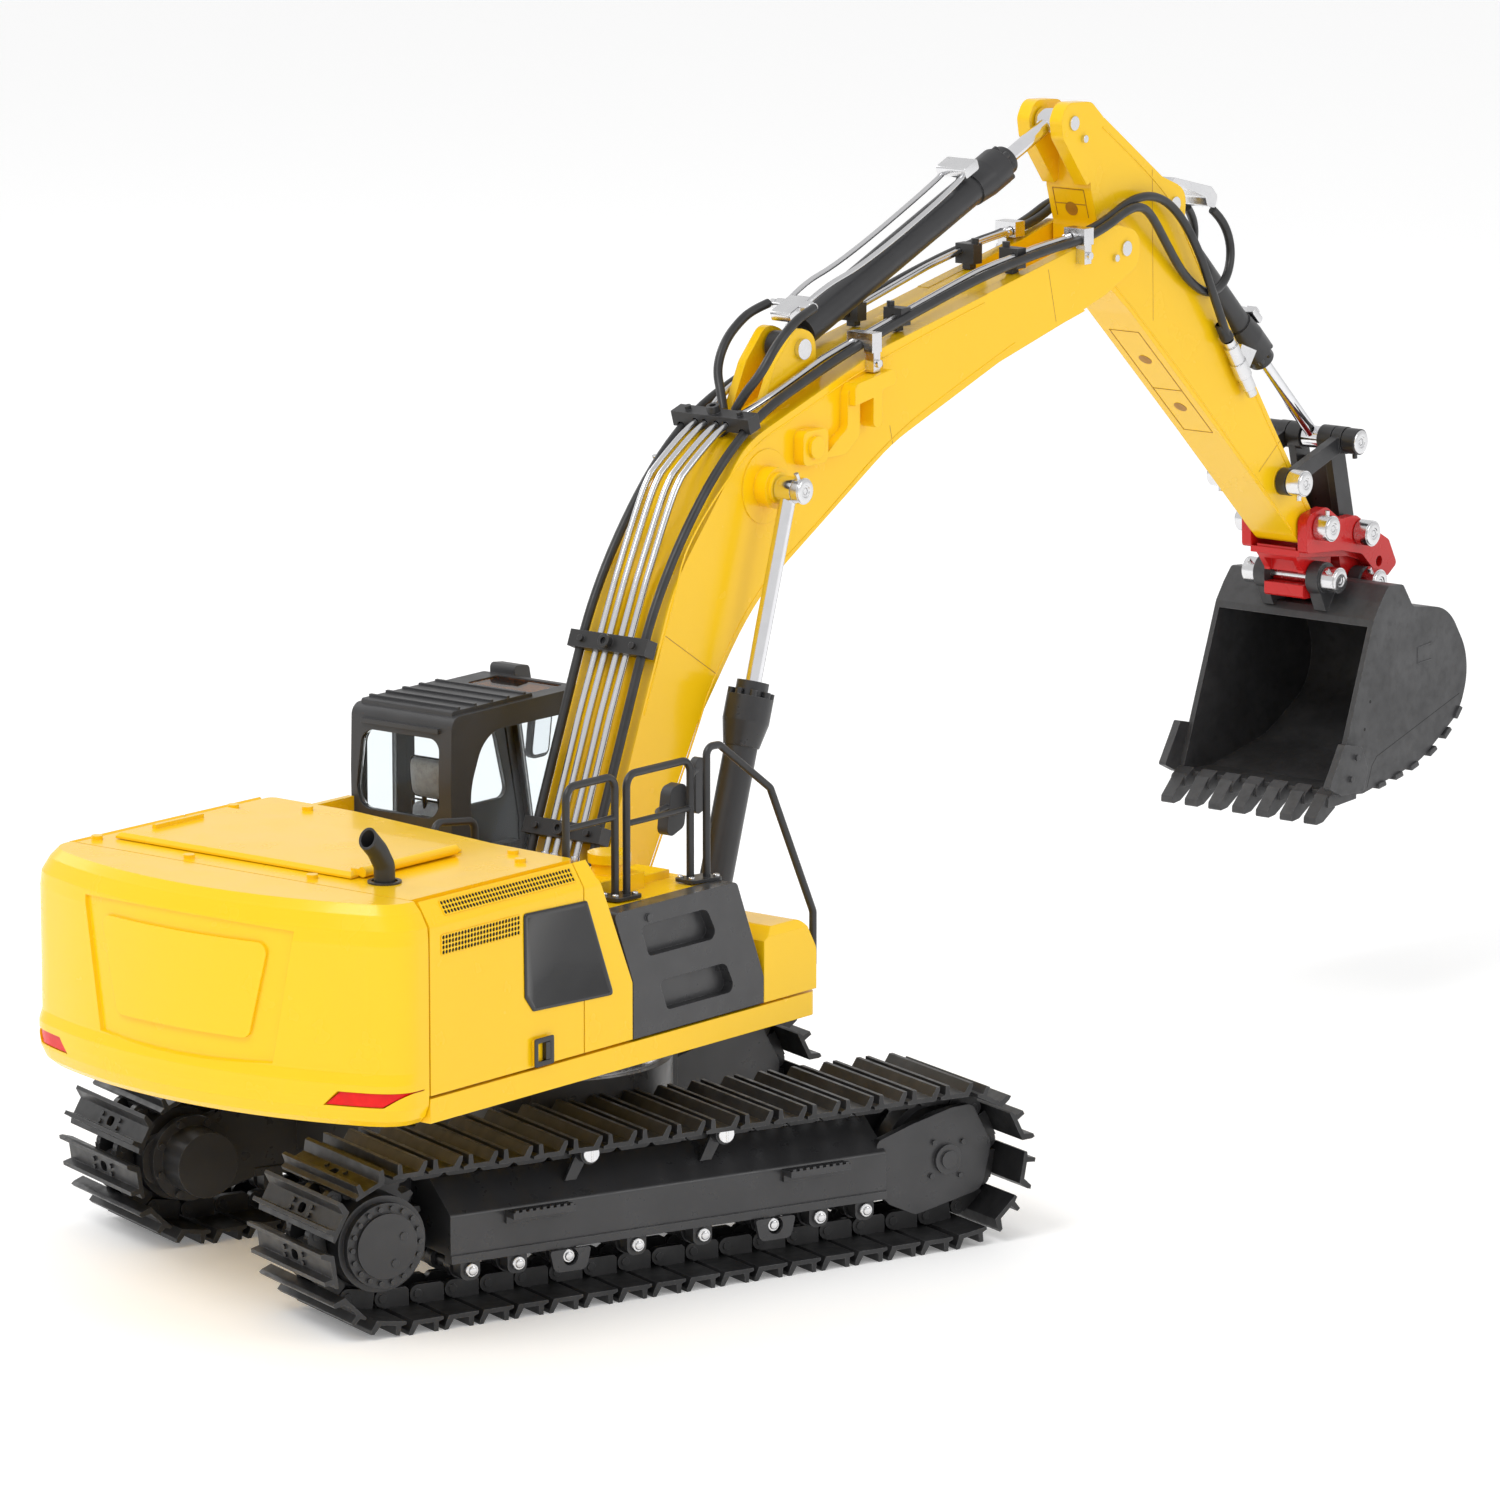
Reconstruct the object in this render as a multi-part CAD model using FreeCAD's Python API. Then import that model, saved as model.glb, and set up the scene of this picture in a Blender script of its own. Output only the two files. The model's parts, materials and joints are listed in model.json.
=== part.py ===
"""Remote control excavator at 1:16, as separate pieces, one STEP file per named piece.

Frame: millimetres, +Z up, origin on the ground under the slew axis, +X forward along the tracks,
+Y to the left. The upper structure and the arm are drawn looking straight forward and are then
turned by SLEW_ANGLE about the slew axis, which is how the machine stands.
"""
import FreeCAD, Part
import math
import os

V = FreeCAD.Vector
X, Y, Z = V(1, 0, 0), V(0, 1, 0), V(0, 0, 1)

# ---- driving dimensions (millimetres, degrees) -------------------------------------------------
SLEW_ANGLE = 20.26          # the upper structure stands turned to the left
WHEEL_X = 126.25            # sprocket and idler centres from the slew axis
WHEEL_Z = 33.25
GAUGE = 79.5                # chain centre line from the machine's centre line
CHAIN_R = 23.75             # pin circle round sprocket and idler
SHOES = 43                  # track shoes on each side
FIRST_PIN_X = -121.7
SHOE_HALF = 29.5            # half the width of a track shoe
LINK_IN, LINK_OUT = 5.6, 8.8        # link plate faces from the chain centre line
LINK_R = 3.4                # half height of a link plate
SHOE_IN, SHOE_TIP = 4.0, 9.5        # shoe plate and grouser tips outside the pin line
TEETH = 20                  # sprocket teeth, two to a link
TOOTH_R = 25.2
IDLER_R = 18.8              # idler tread under the link plates
MOTOR_R = 12.2              # travel motor housing inside the sprocket
ROLLER_X = (-88.3, -67.9, -46.3, -15.4, 14.0, 45.0, 66.4, 87.4)
GUIDED_ROLLERS = (2, 5)
ROLLER_Z = 18.1
CARRIER_X = (-35.0, 25.0)
CARRIER_Z = 56.2
FRAME_END = 97.0            # half length of a side frame
BODY_HALF = 93.0            # half width of the upper structure
SKIRT_Z, PLATE_Z, DECK_Z = 91.5, 97.5, 101.3      # underside of the skirt and plate, top of the deck
HOOD_Z = 174.5
CHAMFER_Z = 165.5           # the sides lean in above this height
HOOD_HALF = 87.0
TAIL_R = 214.0              # tail swing radius
SEAM_X = -177.2             # joint between counterweight and engine house
HOUSE_FRONT = -88.0
TANK_FRONT = 54.0           # right front corner of the deck
CAB_X0, CAB_X1 = -8.0, 97.0
CAB_Y0, CAB_Y1 = 40.4, 92.6
CAB_Z0, CAB_Z1 = 106.0, 203.0
BOOM_HALF = 18.0            # half the outside width of the boom
STICK_HALF = 11.5
CYLINDER_Y = 30.3           # boom cylinders from the centre line
PLATE = 1.6                 # plate thickness of boom, stick and bucket
FIT = 0.05                  # radial clearance of a turning pin
EAR_IN, EAR_OUT = 35.2, 37.2        # outer ears of the boom cylinders

# arm pivots, x and z in the plane of the arm
BOOM_FOOT = (22.0, 134.0)
BOOM_BASE = (60.5, 107.0)   # foot of the boom cylinders
BOOM_EYE = (115.8, 284.1)   # rod eye of the boom cylinders
STICK_BASE = (149.5, 334.5)
STICK_EYE = (329.5, 408.5)
ARM_TIP = (358.3, 353.8)
BUCKET_BASE = (402.0, 367.5)
ROCKER = (483.7, 238.6)
KNUCKLE = (525.5, 251.7)
STICK_END = (505.1, 216.0)
COUPLER_REAR = (536.3, 209.8)
PIN_FRONT = (511.0, 192.3)  # bucket pins held by the quick coupler
PIN_REAR = (542.3, 187.3)


# ---- small helpers ----------------------------------------------------------------------------
def box(x0, x1, y0, y1, z0, z1):
    return Part.makeBox(x1 - x0, y1 - y0, z1 - z0, V(x0, y0, z0))


def rod(radius, start, end):
    return Part.makeCylinder(radius, (end - start).Length, start, end - start)


def disc(radius, centre, y0, y1):
    """A cylinder across the arm between y0 and y1, centred on an arm pivot."""
    return rod(radius, V(centre[0], y0, centre[1]), V(centre[0], y1, centre[1]))


def fuse(*shapes):
    joined = shapes[0]
    for shape in shapes[1:]:
        joined = joined.fuse(shape)
    return joined.removeSplitter()


def cut(shape, *tools):
    for tool in tools:
        shape = shape.cut(tool)
    return shape


def mirrored(shape):
    """The same piece on the other side of the centre plane."""
    return shape.mirror(V(0, 0, 0), Y)


def both(shape):
    return [shape, mirrored(shape)]


def outline(points, place):
    """Closed wire through (a, b) or (a, b, corner radius) points; place makes a point 3-D."""
    count = len(points)
    runs = []
    for index, point in enumerate(points):
        here = V(point[0], point[1], 0)
        radius = point[2] if len(point) > 2 else 0
        if not radius:
            runs.append((here, None, here))
            continue
        back = V(*points[index - 1][:2], 0) - here
        ahead = V(*points[(index + 1) % count][:2], 0) - here
        back.normalize()
        ahead.normalize()
        half = back.getAngle(ahead) / 2
        middle = back + ahead
        middle.normalize()
        reach = radius / math.tan(half)
        top = here + middle * (radius / math.sin(half) - radius)
        runs.append((here + back * reach, top, here + ahead * reach))
    edges = []
    for index, (start, top, end) in enumerate(runs):
        if top is not None:
            edges.append(Part.Arc(place(start), place(top), place(end)).toShape())
        following = runs[(index + 1) % count][0]
        if (following - end).Length > 1e-6:
            edges.append(Part.LineSegment(place(end), place(following)).toShape())
    return Part.Wire(edges)


def slab(points, axis, low, high):
    """Outline in the plane across one axis, extruded from low to high along it."""
    places = {"x": lambda p: V(low, p.x, p.y), "y": lambda p: V(p.x, low, p.y),
              "z": lambda p: V(p.x, p.y, low)}
    direction = {"x": X, "y": Y, "z": Z}[axis]
    return Part.Face(outline(points, places[axis])).extrude(direction * (high - low))


def toward(start, end, distance):
    """The point at a distance from start on the way to end, in the plane of the arm."""
    length = math.dist(start, end)
    return (start[0] + (end[0] - start[0]) * distance / length,
            start[1] + (end[1] - start[1]) * distance / length)





def around(centre, radius, degrees):
    """A point on a circle in the plane of the arm."""
    turn = math.radians(degrees)
    return (centre[0] + radius * math.cos(turn), centre[1] + radius * math.sin(turn))


def tube(points, radius, bends=None):
    """A round tube along straight runs joined by tangent arcs."""
    spots = [V(*p) for p in points]
    edges = []
    here = spots[0]
    for index in range(1, len(spots) - 1):
        before, corner, after = spots[index - 1], spots[index], spots[index + 1]
        back = before - corner
        ahead = after - corner
        shorter = min(back.Length, ahead.Length)
        back.normalize()
        ahead.normalize()
        half_turn = (math.pi - back.getAngle(ahead)) / 2
        bend = bends if bends else 0.45 * shorter / math.tan(half_turn)
        reach = bend * math.tan(half_turn)
        middle = back + ahead
        middle.normalize()
        top = corner + middle * (bend / math.cos(half_turn) - bend)
        start, end = corner + back * reach, corner + ahead * reach
        edges.append(Part.LineSegment(here, start).toShape())
        edges.append(Part.Arc(start, top, end).toShape())
        here = end
    edges.append(Part.LineSegment(here, spots[-1]).toShape())
    path = Part.Wire(edges)
    circle = Part.Wire(Part.makeCircle(radius, spots[0], spots[1] - spots[0]))
    pipe = path.makePipeShell([circle], True, True)
    if pipe.Volume < 0:
        pipe.reverse()
    return pipe


# ---- tracks -----------------------------------------------------------------------------------
def track_point(distance):
    """A point of the pin line and its direction, at a distance from the bottom centre."""
    straight = 2 * WHEEL_X
    turn = math.pi * CHAIN_R
    distance = (distance + WHEEL_X) % (2 * straight + 2 * turn)
    if distance < straight:
        return (distance - WHEEL_X, WHEEL_Z - CHAIN_R)
    distance -= straight
    if distance < turn:
        angle = distance / CHAIN_R - math.pi / 2
        return (WHEEL_X + CHAIN_R * math.cos(angle), WHEEL_Z + CHAIN_R * math.sin(angle))
    distance -= turn
    if distance < straight:
        return (WHEEL_X - distance, WHEEL_Z + CHAIN_R)
    angle = (distance - straight) / CHAIN_R + math.pi / 2
    return (CHAIN_R * math.cos(angle) - WHEEL_X, WHEEL_Z + CHAIN_R * math.sin(angle))


def walk(pitch):
    """Distances of the pins when each is one pitch from the last in a straight line."""
    places = [FIRST_PIN_X]
    for _ in range(SHOES):
        here = track_point(places[-1])
        low, high = places[-1] + pitch, places[-1] + 1.3 * pitch
        for _ in range(30):
            middle = (low + high) / 2
            short = math.dist(here, track_point(middle)) < pitch
            low, high = (middle, high) if short else (low, middle)
        places.append(low)
    return places


def chain_pins():
    """Pin centres round one track, spaced so that the chain closes."""
    loop = 4 * WHEEL_X + 2 * math.pi * CHAIN_R
    low, high = 0.9 * loop / SHOES, loop / SHOES
    for _ in range(30):
        middle = (low + high) / 2
        short = walk(middle)[-1] - FIRST_PIN_X < loop
        low, high = (middle, high) if short else (low, middle)
    return [track_point(place) for place in walk(low)[:-1]]


def on_links(piece, pins, side):
    """Copies of a piece drawn on a link (+X along it, -Z outwards), one on every link."""
    copies = []
    for index, pin in enumerate(pins):
        following = pins[(index + 1) % len(pins)]
        tilt = math.degrees(math.atan2(following[1] - pin[1], following[0] - pin[0]))
        turn = FreeCAD.Rotation(Y, -tilt)
        copy = piece.copy()
        copy.Placement = FreeCAD.Placement(V(pin[0], side * GAUGE, pin[1]), turn)
        copies.append(copy)
    return copies


def shoe(pitch):
    """One double-grouser shoe with its centre slot and bolt heads."""
    middle = pitch / 2
    section = [(-5.6, 4.0), (7.2, 4.0), (7.2, 5.1), (5.2, 5.8), (5.0, 9.5), (3.4, 9.5), (3.0, 5.8),
               (-3.6, 5.8), (-6.0, 9.5), (-7.5, 9.5), (-7.4, 8.0)]
    plate = slab([(middle + a, -b) for a, b in section], "y", -SHOE_HALF, SHOE_HALF)
    slot = slab([(middle - 2.0, -2.6, 1.6), (middle + 2.0, -2.6, 1.6), (middle + 2.0, 2.6, 1.6),
                 (middle - 2.0, 2.6, 1.6)], "z", -7, -3)
    shape = plate.cut(slot)
    for across in (-7.2, 7.2):
        for step in (-1.6, 1.6):
            head = rod(1.0, V(middle + step, across, -5.5), V(middle + step, across, -6.7))
            shape = shape.fuse(head)
    return shape


def link_plates(pitch):
    """The two plates of one link with the ends of its pin."""
    reach = pitch - LINK_R - 0.5
    plate = fuse(disc(LINK_R, (0, 0), LINK_IN, LINK_OUT),
                 slab([(0, -SHOE_IN), (reach, -SHOE_IN), (reach, LINK_R - 1.2), (reach - 1.2, LINK_R),
                       (0, LINK_R)], "y", LINK_IN, LINK_OUT),
                 disc(1.7, (0, 0), LINK_OUT - 0.5, LINK_OUT + 0.5))
    return both(plate)


def sprocket(side):
    """Toothed ring with its hub and bolted cover."""
    points = []
    for tooth in range(TEETH):
        for part, radius in ((-0.32, 21.6), (-0.12, TOOTH_R), (0.12, TOOTH_R), (0.32, 21.6)):
            angle = 2 * math.pi * (tooth + part) / TEETH
            points.append((-WHEEL_X + radius * math.cos(angle), WHEEL_Z + radius * math.sin(angle)))
    centre = (-WHEEL_X, WHEEL_Z)
    shape = fuse(slab(points, "y", -3.4, 3.4), disc(18.6, centre, -12.0, 17.0),
                 disc(16.4, centre, 17.0, 20.0), disc(12.6, centre, 20.0, 21.5))
    shape = cut(shape, disc(MOTOR_R + 0.3, centre, -13.0, 6.0))
    for index in range(18):
        shape = shape.fuse(disc(1.0, around(centre, 14.5, 20 * index), 19.5, 21.2))
    for angle in (25, -65):
        shape = shape.fuse(disc(1.6, around(centre, 7.6, angle), 21.0, 22.1))
    shape.translate(V(0, GAUGE, 0))
    return shape if side > 0 else mirrored(shape)


def idler(side):
    """Front wheel with its centre flange, dished sides and bored hub."""
    centre = (WHEEL_X, WHEEL_Z)
    wheel = fuse(disc(IDLER_R, centre, -10.5, 10.5), disc(IDLER_R + 2.8, centre, -4.2, 4.2))
    dishes = [disc(IDLER_R - 3.3, centre, 6.5, 11), disc(IDLER_R - 3.3, centre, -11, -6.5)]
    hub = disc(6.5, centre, -11.6, 11.6)
    shape = cut(fuse(cut(wheel, *dishes), hub), disc(3.0 + FIT, centre, -13, 13))
    shape.translate(V(0, GAUGE, 0))
    return shape if side > 0 else mirrored(shape)


def side_frame(side):
    """Track frame: closed box with a sloping top, idler yoke in front and motor bracket behind."""
    outer, inner = GAUGE + 17.5, GAUGE - 17.5
    section = [(inner, 24, 1), (outer, 24, 1), (outer, 40, 2), (GAUGE + 1, 51.5, 2), (inner, 51.5, 2)]
    beam = slab(section, "x", -FRAME_END, FRAME_END)
    hollow = slab([(inner + 3, 27), (outer - 3, 27), (outer - 3, 38.5), (GAUGE, 48.5), (inner + 3, 48.5)],
                  "x", -FRAME_END + 4, FRAME_END - 4)
    pieces = [cut(beam, hollow), box(-FRAME_END, FRAME_END, outer - 4.5, outer + 0.8, 21.4, 24.6),
              box(-FRAME_END, FRAME_END, inner - 0.8, inner + 4.5, 21.4, 24.6)]
    yoke_side = [(94, 24, 2), (100, 18, 3), (112, 12.4, 4), (142.6, 19, 6), (147, 37, 8), (138, 54, 4),
                 (128.5, 53.5, 4), (110, 49, 4), (94, 44, 3)]
    for low, high in ((GAUGE + 12.2, GAUGE + 15.5), (GAUGE - 15.5, GAUGE - 12.2)):
        pieces.append(slab(yoke_side, "y", low, high))
    wheel = (WHEEL_X, WHEEL_Z)
    pieces.extend([disc(3.0, wheel, GAUGE - 13, GAUGE + 13), disc(6.0, wheel, GAUGE + 15.4, GAUGE + 17.2),
                   disc(3.6, wheel, GAUGE + 17.0, GAUGE + 18.2)])
    for angle in (40, 130, 220, 310):
        pieces.append(disc(1.1, around(wheel, 9.5, angle), GAUGE + 15.4, GAUGE + 16.6))
    bracket_side = [(-94, 22, 2), (-94, 50, 2), (-110, 50, 6), (-146, 41, 8), (-146, 26, 8), (-120, 15, 8)]
    pieces.append(slab(bracket_side, "y", GAUGE - 17.5, GAUGE - 13.2))
    shape = cut(fuse(*pieces), disc(10.6, (-WHEEL_X, WHEEL_Z), GAUGE - 20, GAUGE - 10))
    return shape if side > 0 else mirrored(shape)


def bottom_roller(x):
    """Roller with two treads, the caps that carry its ends, and its bolt outside."""
    spot = (x, ROLLER_Z)
    solids = [fuse(disc(5.0, spot, GAUGE - 9.6, GAUGE - 4.9), disc(5.0, spot, GAUGE + 4.9, GAUGE + 9.6),
                   disc(3.4, spot, GAUGE - 11.2, GAUGE + 11.2))]
    profile = [(x - 4.2, 14.0, 3), (x + 4.2, 14.0, 3), (x + 4.2, 21.4), (x - 4.2, 21.4)]
    for low, high in ((GAUGE + 11.2, GAUGE + 17.0), (GAUGE - 17.0, GAUGE - 11.2)):
        solids.append(slab(profile, "y", low, high))
    solids.append(fuse(disc(2.6, spot, GAUGE + 17.0, GAUGE + 18.2), disc(1.5, spot, GAUGE + 18.2,
                                                                         GAUGE + 18.8)))
    return solids


def carrier_roller(x):
    """Top roller outside the link plates, on a stalk from the slope of the side frame."""
    stalk = slab([(x - 8.5, 45.5), (x - 3.5, 45.5), (x + 2.4, CARRIER_Z - 1), (x + 1.4, CARRIER_Z + 2),
                  (x - 2.2, CARRIER_Z + 1.4)], "y", GAUGE + 9.7, GAUGE + 11.0)
    wheel = disc(4.2, (x, CARRIER_Z), GAUGE + 11.0, GAUGE + 15.8)
    return [fuse(stalk, wheel), disc(2.5, (x, CARRIER_Z), GAUGE + 15.8, GAUGE + 17.0)]


def rollers():
    """Bottom and top rollers of both sides."""
    solids = []
    for x in ROLLER_X:
        solids.extend(bottom_roller(x))
    for x in CARRIER_X:
        solids.extend(carrier_roller(x))
    return solids + [mirrored(s) for s in solids]


def frame_fittings():
    """Chain guides beside two rollers and the serrated steps on the side frames."""
    solids = []
    for index in GUIDED_ROLLERS:
        x = ROLLER_X[index]
        guard = slab([(x - 9, 21.2, 1), (x - 7, 12.5, 3), (x + 7, 12.5, 3), (x + 9, 21.2, 1)],
                     "y", GAUGE + 18.7, GAUGE + 20.2)
        solids.append(cut(guard, disc(3.4, (x, ROLLER_Z), GAUGE + 18, GAUGE + 21)))
    for x in (-60.0, 63.0):
        tread = box(x - 13.5, x + 13.5, GAUGE + 18.0, GAUGE + 24.5, 37.2, 39.6)
        teeth = [box(x + step - 0.7, x + step + 0.7, GAUGE + 23.3, GAUGE + 24.5, 39.0, 40.5)
                 for step in range(-12, 13, 3)]
        back = box(x - 13.5, x + 13.5, GAUGE + 17.5, GAUGE + 19.0, 34.5, 39.0)
        solids.append(fuse(tread, back, *teeth))
    return solids + [mirrored(s) for s in solids]


def centre_frame():
    """Turret ring on a box with four legs that run out to the side frames."""
    inner = GAUGE - 17.5
    ring = cut(rod(50, V(0, 0, 40), V(0, 0, 72)), rod(36, V(0, 0, 45), V(0, 0, 73)))
    body = slab([(-58, -40, 10), (58, -40, 10), (58, 40, 10), (-58, 40, 10)], "z", 30, 46)
    pieces = [ring, body]
    for sx in (-1, 1):
        for sy in (-1, 1):
            leg = [(20 * sx, 30 * sy), (38 * sx, inner * sy), (78 * sx, inner * sy), (58 * sx, 20 * sy)]
            pieces.append(slab(leg, "z", 30, 50))
    shape = fuse(*pieces)
    return cut(shape, rod(12, V(0, 0, 25), V(0, 0, 50)))


def track_motors():
    """Travel motor and gearbox housings inside each sprocket."""
    centre = (-WHEEL_X, WHEEL_Z)
    solids = [fuse(disc(MOTOR_R, centre, GAUGE - 13.1, GAUGE + 5.0), disc(17.0, centre, GAUGE - 21.0,
                                                                          GAUGE - 17.6),
                   disc(13.0, centre, GAUGE - 35.0, GAUGE - 20.5), disc(10.5, centre, GAUGE - 18,
                                                                        GAUGE - 12))]
    for index in range(8):
        solids.append(disc(1.4, around(centre, 15.0, 45 * index + 20), GAUGE - 22.6, GAUGE - 21.0))
    return solids + [mirrored(s) for s in solids]


# ---- slewing ----------------------------------------------------------------------------------
RING_TEETH, PINION_TEETH = 60, 12
MODULE = 1.0
PINION_X = -(RING_TEETH - PINION_TEETH) * MODULE / 2
TOOTH_Z0, TOOTH_Z1 = 75.0, 83.0


def gear_points(teeth, root, tip, phase, share):
    points = []
    for tooth in range(teeth):
        for part, radius in ((-share - 0.1, root), (-share + 0.08, tip), (share - 0.08, tip),
                             (share + 0.1, root)):
            angle = 2 * math.pi * (tooth + part) / teeth + phase
            points.append((radius * math.cos(angle), radius * math.sin(angle)))
    return points


def swing_gear():
    """Ring gear with inside teeth, bolted on the turret."""
    ring = rod(47, V(0, 0, 72), V(0, 0, 84))
    pitch = RING_TEETH * MODULE / 2
    phase = math.pi + math.radians(SLEW_ANGLE)
    gap = slab(gear_points(RING_TEETH, pitch - 0.9, pitch + 1.4, phase, 0.29), "z", 71, 85)
    return cut(ring, gap)


def slew_pinion():
    pitch = PINION_TEETH * MODULE / 2
    teeth = slab(gear_points(PINION_TEETH, pitch - 1.3, pitch + 0.7, math.pi, 0.17), "z", TOOTH_Z0, TOOTH_Z1)
    shaft = rod(2.5, V(0, 0, 82), V(0, 0, 104))
    shape = fuse(teeth, shaft)
    shape.translate(V(PINION_X, 0, 0))
    return shape


def swing_bearing():
    """Upper ring of the slewing bearing, bolted under the deck."""
    return cut(rod(48, V(0, 0, 84.4), V(0, 0, PLATE_Z)), rod(37, V(0, 0, 84), V(0, 0, PLATE_Z + 1)))


# ---- upper structure --------------------------------------------------------------------------
def deck_frame():
    """Deck plate with its skirt, the ears of boom foot and boom cylinders, and the foot pin."""
    plan = [(SEAM_X + 0.4, -BODY_HALF), (TANK_FRONT, -BODY_HALF, 4), (TANK_FRONT, -42, 2), (77, -42, 5),
            (77, 16, 2), (99, 40, 3), (99, BODY_HALF, 8), (SEAM_X + 0.4, BODY_HALF)]
    under = [(SEAM_X + 4, -BODY_HALF + 3), (TANK_FRONT - 3, -BODY_HALF + 3), (TANK_FRONT - 3, -39),
             (74, -39), (74, 17), (96, 41.5), (96, BODY_HALF - 3), (SEAM_X + 4, BODY_HALF - 3)]
    deck = cut(slab(plan, "z", SKIRT_Z, DECK_Z - 0.5), slab(under, "z", SKIRT_Z - 1, PLATE_Z))
    foot_x, foot_z = BOOM_FOOT
    inner_ear = [(-6, 100), (6, 128), (foot_x - 13, foot_z + 10, 9), (foot_x + 10, foot_z + 10, 9),
                 (44, 120, 6),
                 (68, 113, 6), (75, 100)]
    outer_ear = [(47, 100), (52, 112.6, 6), (69, 112.6, 6), (75, 100)]
    ears = both(slab(inner_ear, "y", 18.5, 22.0)) + both(slab(outer_ear, "y", EAR_IN, EAR_OUT))
    wells = both(box(44, 77, 22.0, EAR_OUT, SKIRT_Z, 99))
    rooms = both(box(46, 75.4, 25.0, EAR_IN, 94, 106))
    deck = cut(fuse(deck, *wells, *ears), *rooms, disc(5, BOOM_FOOT, -30, 30),
               rod(2.6, V(PINION_X, 0, 90), V(PINION_X, 0, 105)))
    solids = [deck, disc(5, BOOM_FOOT, -24.5, 24.5), disc(4, BOOM_BASE, EAR_OUT, EAR_OUT + 1.6)]
    return solids + [mirrored(solids[2])]


def tail_section(inset, z, hollow=0.0):
    """Plan outline of the counterweight at one height: straight sides, round corners, swing arc."""
    radius, half = TAIL_R - inset - hollow, BODY_HALF - inset
    start_y = 80.0 - inset
    start_x = -math.sqrt(radius ** 2 - start_y ** 2)
    lean = start_y / -start_x
    corner_x = start_x + (half - start_y) * lean
    side_x = 2 * corner_x - start_x + 4
    front = SEAM_X
    left = Part.BezierCurve()
    left.setPoles([V(side_x, half, z), V(corner_x, half, z), V(start_x, start_y, z)])
    right = Part.BezierCurve()
    right.setPoles([V(start_x, -start_y, z), V(corner_x, -half, z), V(side_x, -half, z)])
    return Part.Wire([Part.LineSegment(V(front, half, z), V(side_x, half, z)).toShape(), left.toShape(),
                      Part.Arc(V(start_x, start_y, z), V(-radius, 0, z), V(start_x, -start_y, z)).toShape(),
                      right.toShape(), Part.LineSegment(V(side_x, -half, z), V(front, -half, z)).toShape(),
                      Part.LineSegment(V(front, -half, z), V(front, half, z)).toShape()])


def tail_block(inset):
    """The counterweight's outer form, drawn in by a distance all round."""
    levels = [(SKIRT_Z, 5.0, 0), (94.0, 2.2, 0), (98.5, 0.4, 0), (103.0, 0, 0), (108.0, 0, 0),
              (112.0, 0, 1.6),
              (160.0, 0, 1.6), (165.5, 0.4, 1.8), (171.0, 3.6, 1.2), (HOOD_Z, 6.8, 0.8)]
    sections = [tail_section(inset + lean, z, hollow) for z, lean, hollow in levels]
    return Part.makeLoft(sections, True, True)


def tail_slice(inset):
    """The counterweight's plan at lamp height, as a block."""
    return Part.Face(tail_section(inset, 98)).extrude(Z * 9)


def lamp_block(slack, outer, inner):
    """Block in the shape of the left lamp, between two depths under the counterweight's surface."""
    shape = [(64.3 - 2 * slack, 99.6 - slack), (86.0 + 2 * slack, 99.6 - slack),
             (93.5 + 3 * slack, 105.2 + slack),
             (69.8 - 2 * slack, 105.2 + slack)]
    return cut(slab(shape, "x", -230, -180).common(tail_slice(outer)), tail_slice(inner))


def panel_recess():
    """Cutter of the rear face: a field with sloping edges round a slightly raised panel."""
    ends = []
    for grow, x in ((8.0, -220.0), (0.0, -200.0)):
        points = [(-40 - grow, 116 - grow), (40 + grow, 116 - grow), (50 + grow, 162 + 0.6 * grow),
                  (-50 - grow, 162 + 0.6 * grow)]
        ends.append(Part.makePolygon([V(x, y, z) for y, z in points + points[:1]]))
    field = cut(Part.makeLoft(ends, True, True), rod(TAIL_R - 3.0, V(0, 0, 90), V(0, 0, 180)))
    panel = slab([(-33, 121, 4), (33, 121, 4), (42, 158, 4), (-42, 158, 4)], "x", -230, -195)
    return cut(field, panel.common(rod(TAIL_R - 1.4, V(0, 0, 90), V(0, 0, 180))))


def counterweight():
    """Cast counterweight with its rear panel, lamp recesses and a hollow for the frame."""
    return cut(tail_block(0), panel_recess(), *both(lamp_block(0, -2, 3.4)),
               box(-190, -170, -60, 60, 93, 99))


def tail_lamps():
    return both(lamp_block(-0.3, 0.8, 2.8))


HOUSE_SIDE = [(BODY_HALF, DECK_Z + 0.6), (BODY_HALF, CHAMFER_Z, 3), (HOOD_HALF + 0.4, HOOD_Z - 0.2),
              (HOOD_HALF - 2.6, HOOD_Z - 3.4), (BODY_HALF - 3, CHAMFER_Z - 1), (BODY_HALF - 3, DECK_Z + 0.6)]
EXHAUST = (-159.0, -56.0)   # foot of the exhaust on the hood
LID_X0, LID_X1, LID_Y0, LID_Y1 = -163.0, -100.0, -43.0, 76.0


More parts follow.
